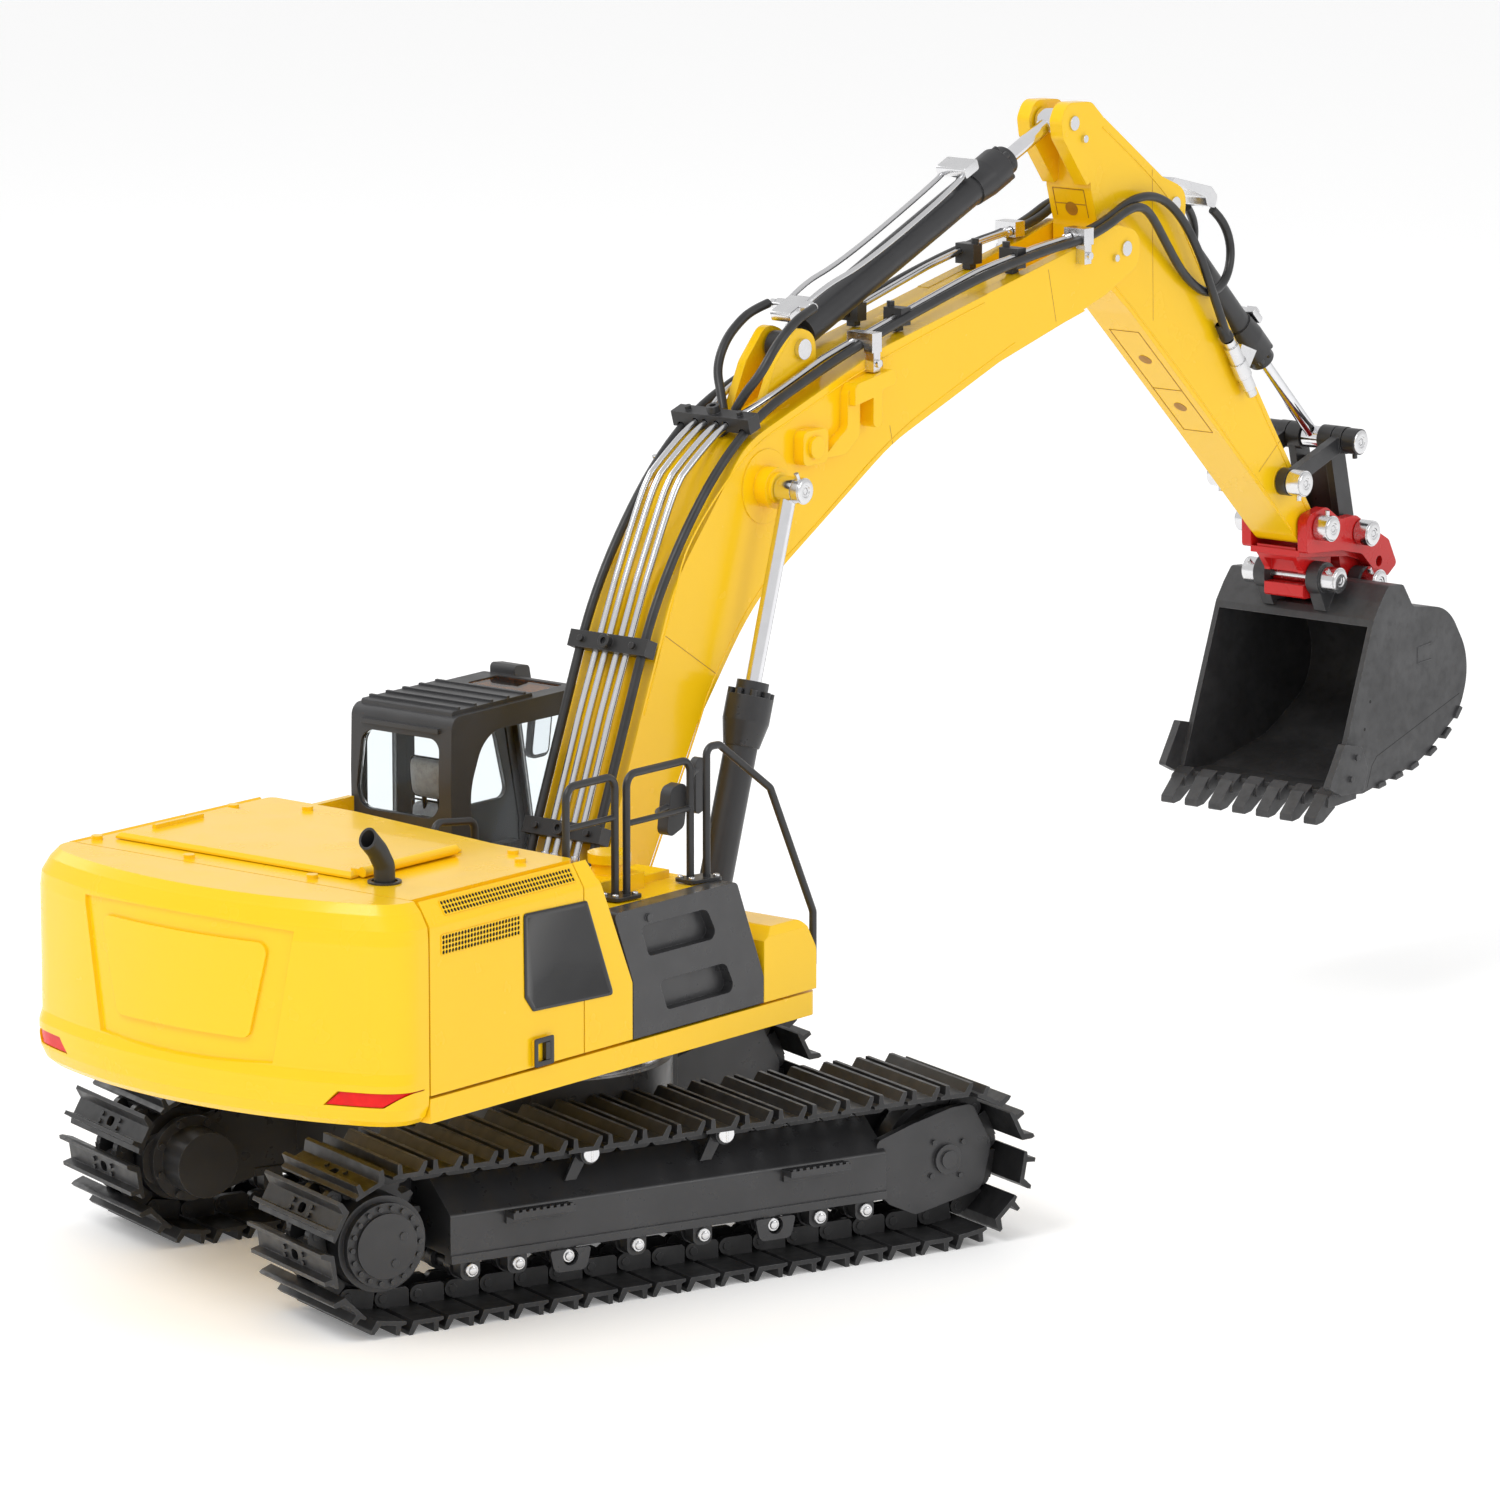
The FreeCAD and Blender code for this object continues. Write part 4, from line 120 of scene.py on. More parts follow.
# ---- materials --------------------------------------------------------------------------------
class Look:
    """One procedural material, put together from a few kinds of surface detail."""

    def __init__(self, name, colour, rough, metal=0.0):
        self.material = bpy.data.materials.new(name)
        self.material.use_nodes = True
        self.tree = self.material.node_tree
        self.shader = self.tree.nodes["Principled BSDF"]
        self.colour = self.node("ShaderNodeRGB").outputs[0]
        self.colour.default_value = (*colour, 1)
        self.shader.inputs["Metallic"].default_value = metal
        self.rough = rough
        self.place = self.node("ShaderNodeTexCoord").outputs["Object"]
        self.bump_chain = None

    def node(self, kind, **settings):
        made = self.tree.nodes.new(kind)
        for key, value in settings.items():
            if hasattr(made, key):
                setattr(made, key, value)
            else:
                made.inputs[key.replace("_", " ")].default_value = value
        return made

    def link(self, source, target):
        self.tree.links.new(source, target)

    def noise(self, scale, detail=2.0, rough=0.5, stretch=None):
        made = self.node("ShaderNodeTexNoise", Scale=scale, Detail=detail, Roughness=rough)
        place = self.place
        if stretch:
            mapping = self.node("ShaderNodeMapping")
            mapping.inputs["Scale"].default_value = stretch
            self.link(place, mapping.inputs["Vector"])
            place = mapping.outputs[0]
        self.link(place, made.inputs["Vector"])
        return made.outputs["Fac"]

    def remap(self, value, low, high, to_low=0.0, to_high=1.0):
        made = self.node("ShaderNodeMapRange")
        self.link(value, made.inputs["Value"])
        for key, number in (("From Min", low), ("From Max", high), ("To Min", to_low), ("To Max", to_high)):
            made.inputs[key].default_value = number
        return made.outputs[0]

    def multiply(self, first, second):
        made = self.node("ShaderNodeMath", operation="MULTIPLY")
        self.link(first, made.inputs[0])
        self.link(second, made.inputs[1])
        return made.outputs[0]

    def blend(self, mask, colour):
        """Mix another colour in where the mask is 1."""
        made = self.node("ShaderNodeMix", data_type="RGBA")
        self.link(mask, made.inputs[0])
        self.link(self.colour, made.inputs[6])
        made.inputs[7].default_value = (*colour, 1)
        self.colour = made.outputs[2]
        return self

    def mottle(self, scale, colour, low=0.45, high=0.75, amount=1.0, stretch=None):
        mask = self.remap(self.noise(scale, 4.0, 0.55, stretch), low, high, 0.0, amount)
        return self.blend(mask, colour)

    def rounded(self, radius):
        """Edges that catch the light as if they had a small radius."""
        made = self.node("ShaderNodeBevel", samples=6)
        made.inputs["Radius"].default_value = radius
        self.bump_chain = made.outputs[0]
        return self

    def worn_edges(self, radius, colour, amount=0.8, scale=900.0):
        """Paler or barer paint along the edges, broken up by a fine noise."""
        soft = self.node("ShaderNodeBevel", samples=6)
        soft.inputs["Radius"].default_value = radius
        geometry = self.node("ShaderNodeNewGeometry")
        dot = self.node("ShaderNodeVectorMath", operation="DOT_PRODUCT")
        self.link(soft.outputs[0], dot.inputs[0])
        self.link(geometry.outputs["True Normal"], dot.inputs[1])
        edge = self.remap(dot.outputs["Value"], 0.985, 0.86)
        broken = self.remap(self.noise(scale, 5.0, 0.65), 0.42, 0.62, 0.0, amount)
        return self.blend(self.multiply(edge, broken), colour)

    def bump(self, scale, height, detail=2.0, stretch=None):
        made = self.node("ShaderNodeBump")
        made.inputs["Strength"].default_value = 1.0
        made.inputs["Distance"].default_value = height
        self.link(self.noise(scale, detail, 0.5, stretch), made.inputs["Height"])
        if self.bump_chain is not None:
            self.link(self.bump_chain, made.inputs["Normal"])
        self.bump_chain = made.outputs[0]
        return self

    def gloss(self, scale, spread):
        """Roughness that varies a little over the surface."""
        self.link(self.remap(self.noise(scale, 3.0), 0.3, 0.7, self.rough - spread, self.rough + spread),
                  self.shader.inputs["Roughness"])
        return self

    def set(self, **inputs):
        for key, value in inputs.items():
            self.shader.inputs[key.replace("_", " ")].default_value = value
        return self

    def done(self):
        self.link(self.colour, self.shader.inputs["Base Color"])
        if not self.shader.inputs["Roughness"].is_linked:
            self.shader.inputs["Roughness"].default_value = self.rough
        if self.bump_chain is not None:
            self.link(self.bump_chain, self.shader.inputs["Normal"])
        return self.material


YELLOW = (0.960, 0.585, 0.004)


def enamel(name, colour, deep, rough=0.24):
    return (Look(name, colour, rough).mottle(14, deep, 0.40, 0.80, 0.35).rounded(0.0004)
            .bump(380, 0.000012, 2).gloss(60, 0.05)
            .set(Coat_Weight=0.18, Coat_Roughness=0.08, Specular_IOR_Level=0.35).done())


def satin(name, colour, pale, rough=0.42, edge=(0.17, 0.17, 0.18), amount=0.55):
    return (Look(name, colour, rough).mottle(45, pale, 0.42, 0.78, 0.7).worn_edges(0.0005, edge, amount)
            .rounded(0.0003).bump(1500, 0.00001, 3).gloss(140, 0.07).done())


looks = {
    "body_yellow": enamel("body_yellow", YELLOW, (0.93, 0.535, 0.003)),
    "frame_black": satin("frame_black", (0.036, 0.036, 0.038), (0.052, 0.052, 0.055), 0.32),
    "track_black": (Look("track_black", (0.013, 0.013, 0.014), 0.42)
                    .mottle(70, (0.030, 0.030, 0.031), 0.40, 0.75).worn_edges(0.0006, (0.13, 0.13, 0.135), 0.7, 700)
                    .rounded(0.0003)
                    .bump(1100, 0.00002, 4).gloss(200, 0.09).set(Specular_IOR_Level=0.5).done()),
    "drive_black": satin("drive_black", (0.030, 0.030, 0.032), (0.050, 0.050, 0.052), 0.36),
    "cab_black": (Look("cab_black", (0.034, 0.034, 0.036), 0.45)
                  .mottle(60, (0.045, 0.045, 0.048), 0.42, 0.8).rounded(0.0005)
                  .bump(5200, 0.000012, 2).gloss(120, 0.06).done()),
    "rail_black": satin("rail_black", (0.020, 0.020, 0.021), (0.030, 0.030, 0.032), 0.38),
    "cylinder_black": satin("cylinder_black", (0.022, 0.022, 0.024), (0.034, 0.034, 0.037), 0.34),
    "chrome_rod": (Look("chrome_rod", (0.80, 0.80, 0.82), 0.10, 1.0)
                   .mottle(160, (0.70, 0.70, 0.73), 0.45, 0.8, 0.5).rounded(0.0002)
                   .bump(3500, 0.000002, 2, (1, 1, 0.12)).gloss(300, 0.04).done()),
    "bright_steel": (Look("bright_steel", (0.74, 0.74, 0.75), 0.22, 1.0)
                     .mottle(120, (0.62, 0.62, 0.64), 0.42, 0.75, 0.4).rounded(0.0003)
                     .bump(3000, 0.0000015, 2).gloss(400, 0.07).done()),
    "pipe_steel": (Look("pipe_steel", (0.66, 0.66, 0.67), 0.20, 1.0)
                   .mottle(30, (0.56, 0.56, 0.58), 0.4, 0.75, 0.5)
                   .bump(900, 0.000003, 3).gloss(60, 0.05).done()),
    "coupler_red": enamel("coupler_red", (0.58, 0.010, 0.010), (0.46, 0.006, 0.006), 0.26),
    "bucket_dark": (Look("bucket_dark", (0.034, 0.034, 0.036), 0.46)
                    .mottle(38, (0.060, 0.060, 0.063), 0.38, 0.72)
                    .mottle(240, (0.024, 0.024, 0.025), 0.5, 0.7, 0.6)
                    .worn_edges(0.0006, (0.16, 0.16, 0.165), 0.7, 600)
                    .rounded(0.0004).bump(900, 0.00003, 5).gloss(180, 0.10).done()),
    "lamp_red": (Look("lamp_red", (0.80, 0.003, 0.003), 0.25).mottle(180, (0.62, 0.002, 0.002), 0.4, 0.7, 0.7)
                 .rounded(0.0003).bump(1400, 0.00006, 0, (1, 1, 0.2))
                 .set(Coat_Weight=0.1, Coat_Roughness=0.06, Specular_IOR_Level=0.25).done()),
    "hose_black": (Look("hose_black", (0.018, 0.018, 0.019), 0.38).mottle(120, (0.030, 0.030, 0.031), 0.42, 0.76)
                   .bump(2400, 0.00002, 3).gloss(160, 0.07).done()),
    "pack_blue": (Look("pack_blue", (0.03, 0.09, 0.30), 0.25).mottle(60, (0.02, 0.06, 0.22)).rounded(0.0006)
                  .bump(260, 0.00012, 3).gloss(90, 0.06).set(Coat_Weight=0.5, Coat_Roughness=0.1).done()),
    "motor_steel": (Look("motor_steel", (0.52, 0.53, 0.55), 0.32, 1.0).mottle(140, (0.42, 0.43, 0.45))
                    .rounded(0.0003).bump(3200, 0.00001, 3, (1, 1, 0.15)).gloss(200, 0.07).done()),
    "tank_alloy": (Look("tank_alloy", (0.58, 0.59, 0.60), 0.38, 1.0).mottle(90, (0.50, 0.51, 0.52))
                   .rounded(0.0003).bump(2600, 0.00001, 3).gloss(200, 0.06).done()),
    "case_black": satin("case_black", (0.025, 0.025, 0.027), (0.035, 0.035, 0.037), 0.5),
    "panel_black": (Look("panel_black", (0.008, 0.008, 0.009), 0.22).mottle(50, (0.014, 0.014, 0.015), 0.4, 0.8)
                    .rounded(0.0003).bump(500, 0.000008, 2).gloss(80, 0.05).set(Coat_Weight=0.15).done()),
    # painted shade: a near-black plate stands in for the shadowed space behind the grilles
    "painted_shade_black": (Look("painted_shade_black", (0.003, 0.003, 0.003), 0.8).mottle(300, (0.006, 0.006, 0.006), 0.4, 0.7)
                   .bump(900, 0.00001, 2).done()),
    "seat_grey": (Look("seat_grey", (0.40, 0.41, 0.425), 0.8).mottle(420, (0.30, 0.305, 0.32), 0.4, 0.7)
                  .bump(5200, 0.00004, 2).bump(800, 0.00003, 3).set(Sheen_Weight=0.35, Sheen_Roughness=0.5).done()),
}


def make_glass():
    """Clear panes; the hatch in the roof is amber."""
    below_hatch, hatch = 0.1995, 0.2005
    look = Look("clear_glass", (0.90, 0.93, 0.94), 0.03)
    split = look.node("ShaderNodeSeparateXYZ")
    look.link(look.place, split.inputs[0])
    look.blend(look.remap(split.outputs["Z"], below_hatch, hatch), (0.75, 0.25, 0.01))
    look.rounded(0.0002).bump(90, 0.00002, 2)
    look.gloss(200, 0.01)
    look.set(Transmission_Weight=1.0, IOR=1.15, Specular_IOR_Level=0.5)
    return look.done()


looks["clear_glass"] = make_glass()
slot_of = {part["node"]: part["material_slot"] for part in frame["record"]["subparts"]}
for node_name, node_object in nodes.items():
    node_object.data.materials.clear()
    node_object.data.materials.append(looks[slot_of[node_name]])
nodes["door_latch"].data.materials[0] = looks["panel_black"]


# ---- building pieces --------------------------------------------------------------------------
def make_piece(name, build, look, body, slot=None, place=UPPER, bevel=0.0, smooth=35.0):
    """Run a mesh-building function in millimetres, place the result in the row frame and let it ride.

    The look is a material, or the name of one that is a slot too.
    """
    work = bmesh.new()
    build(work)
    bmesh.ops.remove_doubles(work, verts=work.verts, dist=1e-5)
    bmesh.ops.recalc_face_normals(work, faces=work.faces)
    if bevel:
        sharp = [e for e in work.edges if len(e.link_faces) == 2 and e.calc_face_angle() > math.radians(smooth)]
        bmesh.ops.bevel(work, geom=sharp, offset=bevel, segments=2, profile=0.6, affect="EDGES",
                        clamp_overlap=True)
    work.transform(place)
    mesh = bpy.data.meshes.new(name)
    work.to_mesh(mesh)
    work.free()
    mesh.shade_smooth()
    mesh.set_sharp_from_angle(angle=math.radians(smooth))
    mesh.materials.append(look if not isinstance(look, str) else looks[look])
    made = bpy.data.objects.new(name, mesh)
    bpy.context.scene.collection.objects.link(made)
    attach(made, body)
    slot or (look if isinstance(look, str) else "body_yellow")
    return made


AXES = {"x": lambda a, b, h: (h, a, b), "y": lambda a, b, h: (a, h, b), "z": lambda a, b, h: (a, b, h)}


def prism(work, points, axis, low, high):
    """Closed plate: an outline stood between two heights along an axis."""
    put = AXES[axis]
    rings = [[work.verts.new(put(a, b, h)) for a, b in points] for h in (low, high)]
    work.faces.new(rings[0])
    work.faces.new(rings[1])
    for i in range(len(points)):
        j = (i + 1) % len(points)
        work.faces.new((rings[0][i], rings[0][j], rings[1][j], rings[1][i]))


def block(work, x0, x1, y0, y1, z0, z1):
    prism(work, [(x0, y0), (x1, y0), (x1, y1), (x0, y1)], "z", z0, z1)


def rounded(points, radius, steps=5):
    """Outline with its corners rounded."""
    out = []
    count = len(points)
    for i, corner in enumerate(points):
        here = Vector(corner)
        to_last = (Vector(points[i - 1]) - here)
        to_next = (Vector(points[(i + 1) % count]) - here)
        half = to_last.angle(to_next) / 2
        reach = min(radius / math.tan(half), to_last.length * 0.48, to_next.length * 0.48)
        start, end = here + to_last.normalized() * reach, here + to_next.normalized() * reach
        for k in range(steps + 1):
            t = k / steps
            out.append(tuple((1 - t) ** 2 * start + 2 * t * (1 - t) * here + t * t * end))
    return out


def lathe(work, profile, start, direction, sides=28):
    """Turned form: (distance along, radius) pairs round an axis; closed where the radius is 0."""
    direction = Vector(direction).normalized()
    side = direction.orthogonal().normalized()
    other = direction.cross(side)
    rings = []
    for along, radius in profile:
        centre = Vector(start) + direction * along
        if radius < 1e-6:
            rings.append([work.verts.new(centre)])
        else:
            rings.append([work.verts.new(centre + (side * math.cos(a) + other * math.sin(a)) * radius)
                          for a in (2 * math.pi * k / sides for k in range(sides))])
    for first, second in zip(rings, rings[1:]):
        for k in range(sides):
            m = (k + 1) % sides
            if len(first) == 1 and len(second) > 1:
                work.faces.new((first[0], second[k], second[m]))
            elif len(second) == 1 and len(first) > 1:
                work.faces.new((first[k], second[0], first[m]))
            elif len(first) > 1:
                work.faces.new((first[k], second[k], second[m], first[m]))


def bead(work, points, radius, sides=8, closed=False):
    """Thin round bead along a polyline, such as a weld seam or piping."""
    path = [Vector(p) for p in points]
    rings = []
    for i, here in enumerate(path):
        last = path[i - 1] if (i or closed) else here
        after = path[(i + 1) % len(path)] if (i + 1 < len(path) or closed) else here
        along = (after - last).normalized()
        side = along.cross(Vector((0.13, 0.21, 0.97))).normalized()
        other = along.cross(side)
        rings.append([work.verts.new(here + (side * math.cos(a) + other * math.sin(a)) * radius)
                      for a in (2 * math.pi * k / sides for k in range(sides))])
    pairs = list(zip(rings, rings[1:])) + ([(rings[-1], rings[0])] if closed else [])
    for first, second in pairs:
        for k in range(sides):
            m = (k + 1) % sides
            work.faces.new((first[k], second[k], second[m], first[m]))
    if not closed:
        work.faces.new(rings[0])
        work.faces.new(rings[-1])


def screw(work, place, direction, radius=1.2, height=0.9):
    """Cap screw with a hexagon recess."""
    lathe(work, [(0, 0), (0, radius), (height * 0.7, radius), (height, radius * 0.82), (height, radius * 0.5)],
          place, direction, 24)
    lathe(work, [(height, radius * 0.5), (height * 0.45, radius * 0.46), (height * 0.45, 0)],
          place, direction, 6)


# ---- hoses over the arm -----------------------------------------------------------------------
HOSE_R = 1.9
CLAMP_HOSE = [(-2, -15.6, 108), (1, -15.6, 126), (8.6, -15.6, 146), (14.0, -15.6, 159.6)]
OUTER_HOSE = [(14.0, -15.6, 159.6), (31.4, -15.6, 203.2), (52.8, -15.6, 255.0), (100.5, -15.6, 308.2),
              (160, -15.6, 328), (208, -15.8, 340.5), (262, -17, 353), (300, -19, 359), (325, -20.2, 361),
              (341, -20.4, 364.8), (356, -20.4, 370.6), (366, -20.2, 371), (375, -19, 366.3), (387, -17, 354.6),
              (399, -15.2, 342.8), (406, -14.8, 336.6), (413, -14.5, 331.9), (420.6, -14.2, 328.2),
              (428.8, -13.4, 327.2), (436.8, -12.4, 329.6), (443, -11.2, 335.2), (446.2, -9.9, 343.1),
              (445.2, -8.6, 351.2), (440.8, -7.4, 357.9), (436.6, -6.6, 361.2)]
INNER_HOSE = [(321.8, -15.34, 361.95), (331, -15.6, 362.8), (346, -16, 366.2), (362, -16.6, 373.2),
              (375.6, -17, 374.5), (389.6, -16.5, 370.5), (401.5, -17, 360.8), (411.4, -17.9, 346.7),
              (420.6, -17.9, 330), (429.9, -16.8, 315.9), (436.6, -15.6, 306.1)]
BASE_HOSE = [(115.4, -2.9, 312.9), (117.2, -5.6, 319), (121.5, -11.4, 328), (129, -12.9, 338.5),
             (140, -12.9, 346), (148, -12.4, 349), (155, -11.6, 350.5)]


def nurbs_curve(points, name, steps):
    """Curve object with these control points, not in the scene yet."""
    data = bpy.data.curves.new(name, "CURVE")
    data.dimensions = "3D"
    data.resolution_u = steps
    spline = data.splines.new("NURBS")
    spline.points.add(len(points) - 1)
    for point, spot in zip(spline.points, points):
        point.co = (*spot, 1)
    spline.order_u = 3
    spline.use_endpoint_u = True
    return bpy.data.objects.new(name, data)


def line_points(curve):
    """Points along a curve that has no bevel."""
    mesh = bpy.data.meshes.new_from_object(curve)
    points = [tuple(v.co) for v in mesh.vertices]
    bpy.data.meshes.remove(mesh)
    return points


def smooth_points(points):
    """Points along the smooth curve that these guide, still in the upper structure's millimetres."""
    guide = nurbs_curve(points, "guide", 8)
    line = line_points(guide)
    bpy.data.objects.remove(guide)
    return line


def arm_curve(points, name, side):
    """Curve along the arm on one side, from points in the upper structure's millimetres."""
    made = nurbs_curve([UPPER @ Vector((x, y * side, z)) for x, y, z in points], name, 10)
    bpy.context.scene.collection.objects.link(made)
    return made


def tube_along(curve, name, radius, roundness, look):
    """Capped round tube along a curve, which it takes the place of."""
    curve.data.bevel_depth = radius * MM
    curve.data.bevel_resolution = roundness
    curve.data.use_fill_caps = True
    mesh = bpy.data.meshes.new_from_object(curve)
    bpy.data.objects.remove(curve)
    mesh.name = name
    mesh.materials.clear()
    mesh.materials.append(looks[look])
    mesh.shade_smooth()
    tube = bpy.data.objects.new(name, mesh)
    bpy.context.scene.collection.objects.link(tube)
    return tube


def make_hose(name, points, side, bodies, bend=None):
    """Hose that rides one body, or, when bend points are given, stays fixed in place on no body."""
    curve = arm_curve(points, name + "_line", side)
    path = line_points(curve)
    hose = tube_along(curve, name, HOSE_R, 4, "hose_black")
    if bend:
        start, end = (tuple(UPPER @ Vector(spot)) for spot in bend)
        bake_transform(hose)
        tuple(start)
        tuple(end)
    else:
        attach(hose, *bodies)
    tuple(path[0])
    return hose


for side, word in ((1, "right"), (-1, "left")):
    make_hose("hose_foot_" + word, CLAMP_HOSE, side, ("upper", "boom"),
                           ((0, 0, 118), (10, 0, 152)))
    make_hose("hose_outer_" + word, OUTER_HOSE, side, ("boom", "stick"),
                           ((326, 0, 362), (432, 0, 340)))
    make_hose("hose_inner_" + word, INNER_HOSE, side, ("boom", "stick"),
                           ((330, 0, 362), (430, 0, 320)))
    make_hose("hose_base_" + word, BASE_HOSE, side, ("boom",))
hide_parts("arm_hoses")


# ---- bright pipes up the boom -----------------------------------------------------------------
PIPE_R = 1.45
PIPE_BEND = 5.0                     # reach of a bend on each side of its corner
PIPE_LINE = [(8.6, 146), (31.4, 203.2), (53.5, 253.0), (72.0, 289.0), (80, 295.3), (100.5, 308.2)]  # (x, z)
PIPE_ROWS = (2.9, 7.7)              # sideways places of the inner and outer pair
TOP_PIPE = [(113.5, -7.9, 312.2), (125, -11.7, 317.5), (160, -11.9, 329.6), (208, -11.9, 341), (262, -12.8, 354),
            (300, -14.7, 360), (321.6, -15.33, 361.93)]


def near_corners(route, reach):
    """A point on each side of every corner, so that the pipe's bends are short."""
    path = [Vector(p) for p in route]
    out = [path[0]]
    for last, here, after in zip(path, path[1:], path[2:]):
        for other in (last, after):
            out.append(here + (other - here).normalized() * min(reach, (other - here).length * 0.4))
    return [tuple(p) for p in out + [path[-1]]]


def make_pipe(name, route, side):
    curve = arm_curve(near_corners(route, PIPE_BEND), name + "_line", side)
    pipe = tube_along(curve, name, PIPE_R, 5, "pipe_steel")
    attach(pipe, "boom")
    return pipe


def pipe_ends(work):
    """Stepped fittings below, a ring where the long pipes meet their hoses."""
    down = Vector((-0.37, 0, -0.93))
    steps = [(-4.0, 0), (-4.0, 2.0), (0, 2.0), (0.2, 1.9), (3, 1.9), (3, 1.3), (5, 1.3), (5, 1.9), (8, 1.9),
             (8, 0)]
    for row in PIPE_ROWS:
        for side in (-1, 1):
            lathe(work, steps, (8.6, side * row, 146), down, 24)
    for side in (-1, 1):
        tip = Vector((321.6, side * 15.33, 361.93))
        back = Vector((-21.6, -side * 0.63, -1.93)).normalized()
        lathe(work, [(0, 0), (0, 1.9), (2.6, 1.9), (3.0, 1.5), (3.0, 0)], tip, back, 24)


for side, word in ((1, "right"), (-1, "left")):
    for row, kind, tail in ((PIPE_ROWS[0], "inner", [(113, -PIPE_ROWS[0], 312.0)]),
                            (PIPE_ROWS[1], "outer", TOP_PIPE)):
        route = [(x, -row, z) for x, z in PIPE_LINE] + tail
        make_pipe("pipe_%s_%s" % (kind, word), route, side)
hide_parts("boom_pipes")
make_piece("pipe_ends", pipe_ends, "bright_steel", "boom")


# ---- engine house -----------------------------------------------------------------------------
HOUSE_FACE = 93.0                   # half the width of the engine house
GRILLE_PITCH = 1.8
GRILLE_HOLE = 0.44                  # radius of a hole, in pitches
GRILLE_LIFT = 0.42


def side_word(side):
    return "right" if side < 0 else "left"


def panel_outline(grow=0.0):
    """Outline of the black side panel, drawn in by this much."""
    return rounded([(-123.3 + grow, 161.5 - grow), (-86.6 - grow, 160.4 - grow),
                    (-71 - 1.4 * grow, 121.5 + grow), (-118.1 + grow * 0.6, 123.4 + grow),
                    (-122.9 + grow, 129.4 + grow * 0.6)], 1.6 - grow * 0.3)


def build_side_panel(side):
    def build(work):
        outer, inner = panel_outline(), panel_outline(1.3)
        levels = ((outer, 93.02), (outer, 93.45), (panel_outline(0.35), 93.7), (inner, 93.7),
                  (panel_outline(1.7), 93.4))
        rings = [[work.verts.new((x, side * y, z)) for x, z in line] for line, y in levels]
        for first, second in zip(rings, rings[1:]):
            for i in range(len(first)):
                j = (i + 1) % len(first)
                work.faces.new((first[i], first[j], second[j], second[i]))
        work.faces.new(rings[0])
        work.faces.new(rings[-1])
    return build


def lattice(work, x0, x1, s0, s1, put):
    """Perforated strip: square cells, each with an eight-sided hole."""
    across = max(1, round((x1 - x0) / GRILLE_PITCH))
    down = max(1, round((s1 - s0) / GRILLE_PITCH))
    dx, ds = (x1 - x0) / across, (s1 - s0) / down
    for i in range(across):
        for j in range(down):
            cx, cs = x0 + (i + 0.5) * dx, s0 + (j + 0.5) * ds
            outer = [(cx + dx * a / 2, cs + ds * b / 2) for a, b in
                     ((1, 0), (1, 1), (0, 1), (-1, 1), (-1, 0), (-1, -1), (0, -1), (1, -1))]
            hole = [(cx + dx * GRILLE_HOLE * math.cos(k * math.pi / 4),
                     cs + ds * GRILLE_HOLE * math.sin(k * math.pi / 4)) for k in range(8)]
            top = [work.verts.new(put(x, s, GRILLE_LIFT)) for x, s in outer]
            rim = [work.verts.new(put(x, s, GRILLE_LIFT)) for x, s in hole]
            low = [work.verts.new(put(x, s, GRILLE_LIFT - 0.35)) for x, s in hole]
            for k in range(8):
                m = (k + 1) % 8
                work.faces.new((top[k], top[m], rim[m], rim[k]))
                work.faces.new((rim[k], rim[m], low[m], low[k]))


def on_side(side):
    """Strip coordinate is the height on the upright side."""
    return lambda x, s, lift: (x, side * (HOUSE_FACE + lift), s)


def on_chamfer(side):
    """Strip coordinate runs up the sloping edge of the house from its lower corner."""
    along, out = Vector((0, -0.5368, 0.8437)), Vector((0, 0.8437, 0.5368))
    foot = Vector((0, HOUSE_FACE, 165.5))

    def put(x, s, lift):
        spot = foot + along * s + out * lift
        return (x, side * spot.y, spot.z)
    return put


def grille_strip(region, put):
    return lambda work: lattice(work, *region, put)


def grille_backing(region, put):
    """Dark plate behind the holes, painted shade for the unlit space inside the engine house."""
    def build(work):
        a0, a1, b0, b1 = region
        corners = [(a0, b0), (a1, b0), (a1, b1), (a0, b1)]
        low = [work.verts.new(put(x, s, -0.2)) for x, s in corners]
        high = [work.verts.new(put(x, s, 0.1)) for x, s in corners]
        work.faces.new(low)
        work.faces.new(high)
        for k in range(4):
            work.faces.new((low[k], low[(k + 1) % 4], high[(k + 1) % 4], high[k]))
    return build


def grille_rim(region, put):
    """Bead round a grille."""
    def build(work):
        a0, a1, b0, b1 = region
        line = [put(x, s, 0.2) for x, s in rounded([(a0, b0), (a1, b0), (a1, b1), (a0, b1)], 0.6, 3)]
        bead(work, line, 0.28, 6, True)
    return build


for side in (-1, 1):
    word = side_word(side)
    make_piece("side_panel_" + word, build_side_panel(side), looks["panel_black"], "upper", "case_black",
               smooth=50)
    for name, region, put in (("grille_side_", (-170, -125.5, 154.0, 161.5), on_side(side)),
                              ("grille_top_", (-166, -91, 3.2, 8.8), on_chamfer(side))):
        make_piece(name + word, grille_strip(region, put), "body_yellow", "upper")
        # the backing is painted shade seen through the grille holes
        make_piece(name + word + "_back", grille_backing(region, put), looks["painted_shade_black"], "upper",
                   "case_black")
        make_piece(name + word + "_rim", grille_rim(region, put), "body_yellow", "upper")


# ---- latch of the engine door -----------------------------------------------------------------
def latch_ring(work):
    """Black frame round the catch, a little proud of the door on the right."""
    outer = rounded([(-119.0, 102.0), (-107.8, 102.0), (-107.8, 113.0), (-119.0, 113.0)], 1.0, 4)
    inner = rounded([(-117.0, 104.0), (-109.8, 104.0), (-109.8, 111.0), (-117.0, 111.0)], 0.6, 4)
    levels = ((outer, 94.4), (outer, 94.8), (inner, 94.8), (inner, 93.4))
    rings = [[work.verts.new((x, -y, z)) for x, z in line] for line, y in levels]
    for first, second in zip(rings, rings[1:] + rings[:1]):
        for i in range(len(first)):
            j = (i + 1) % len(first)
            work.faces.new((first[i], first[j], second[j], second[i]))


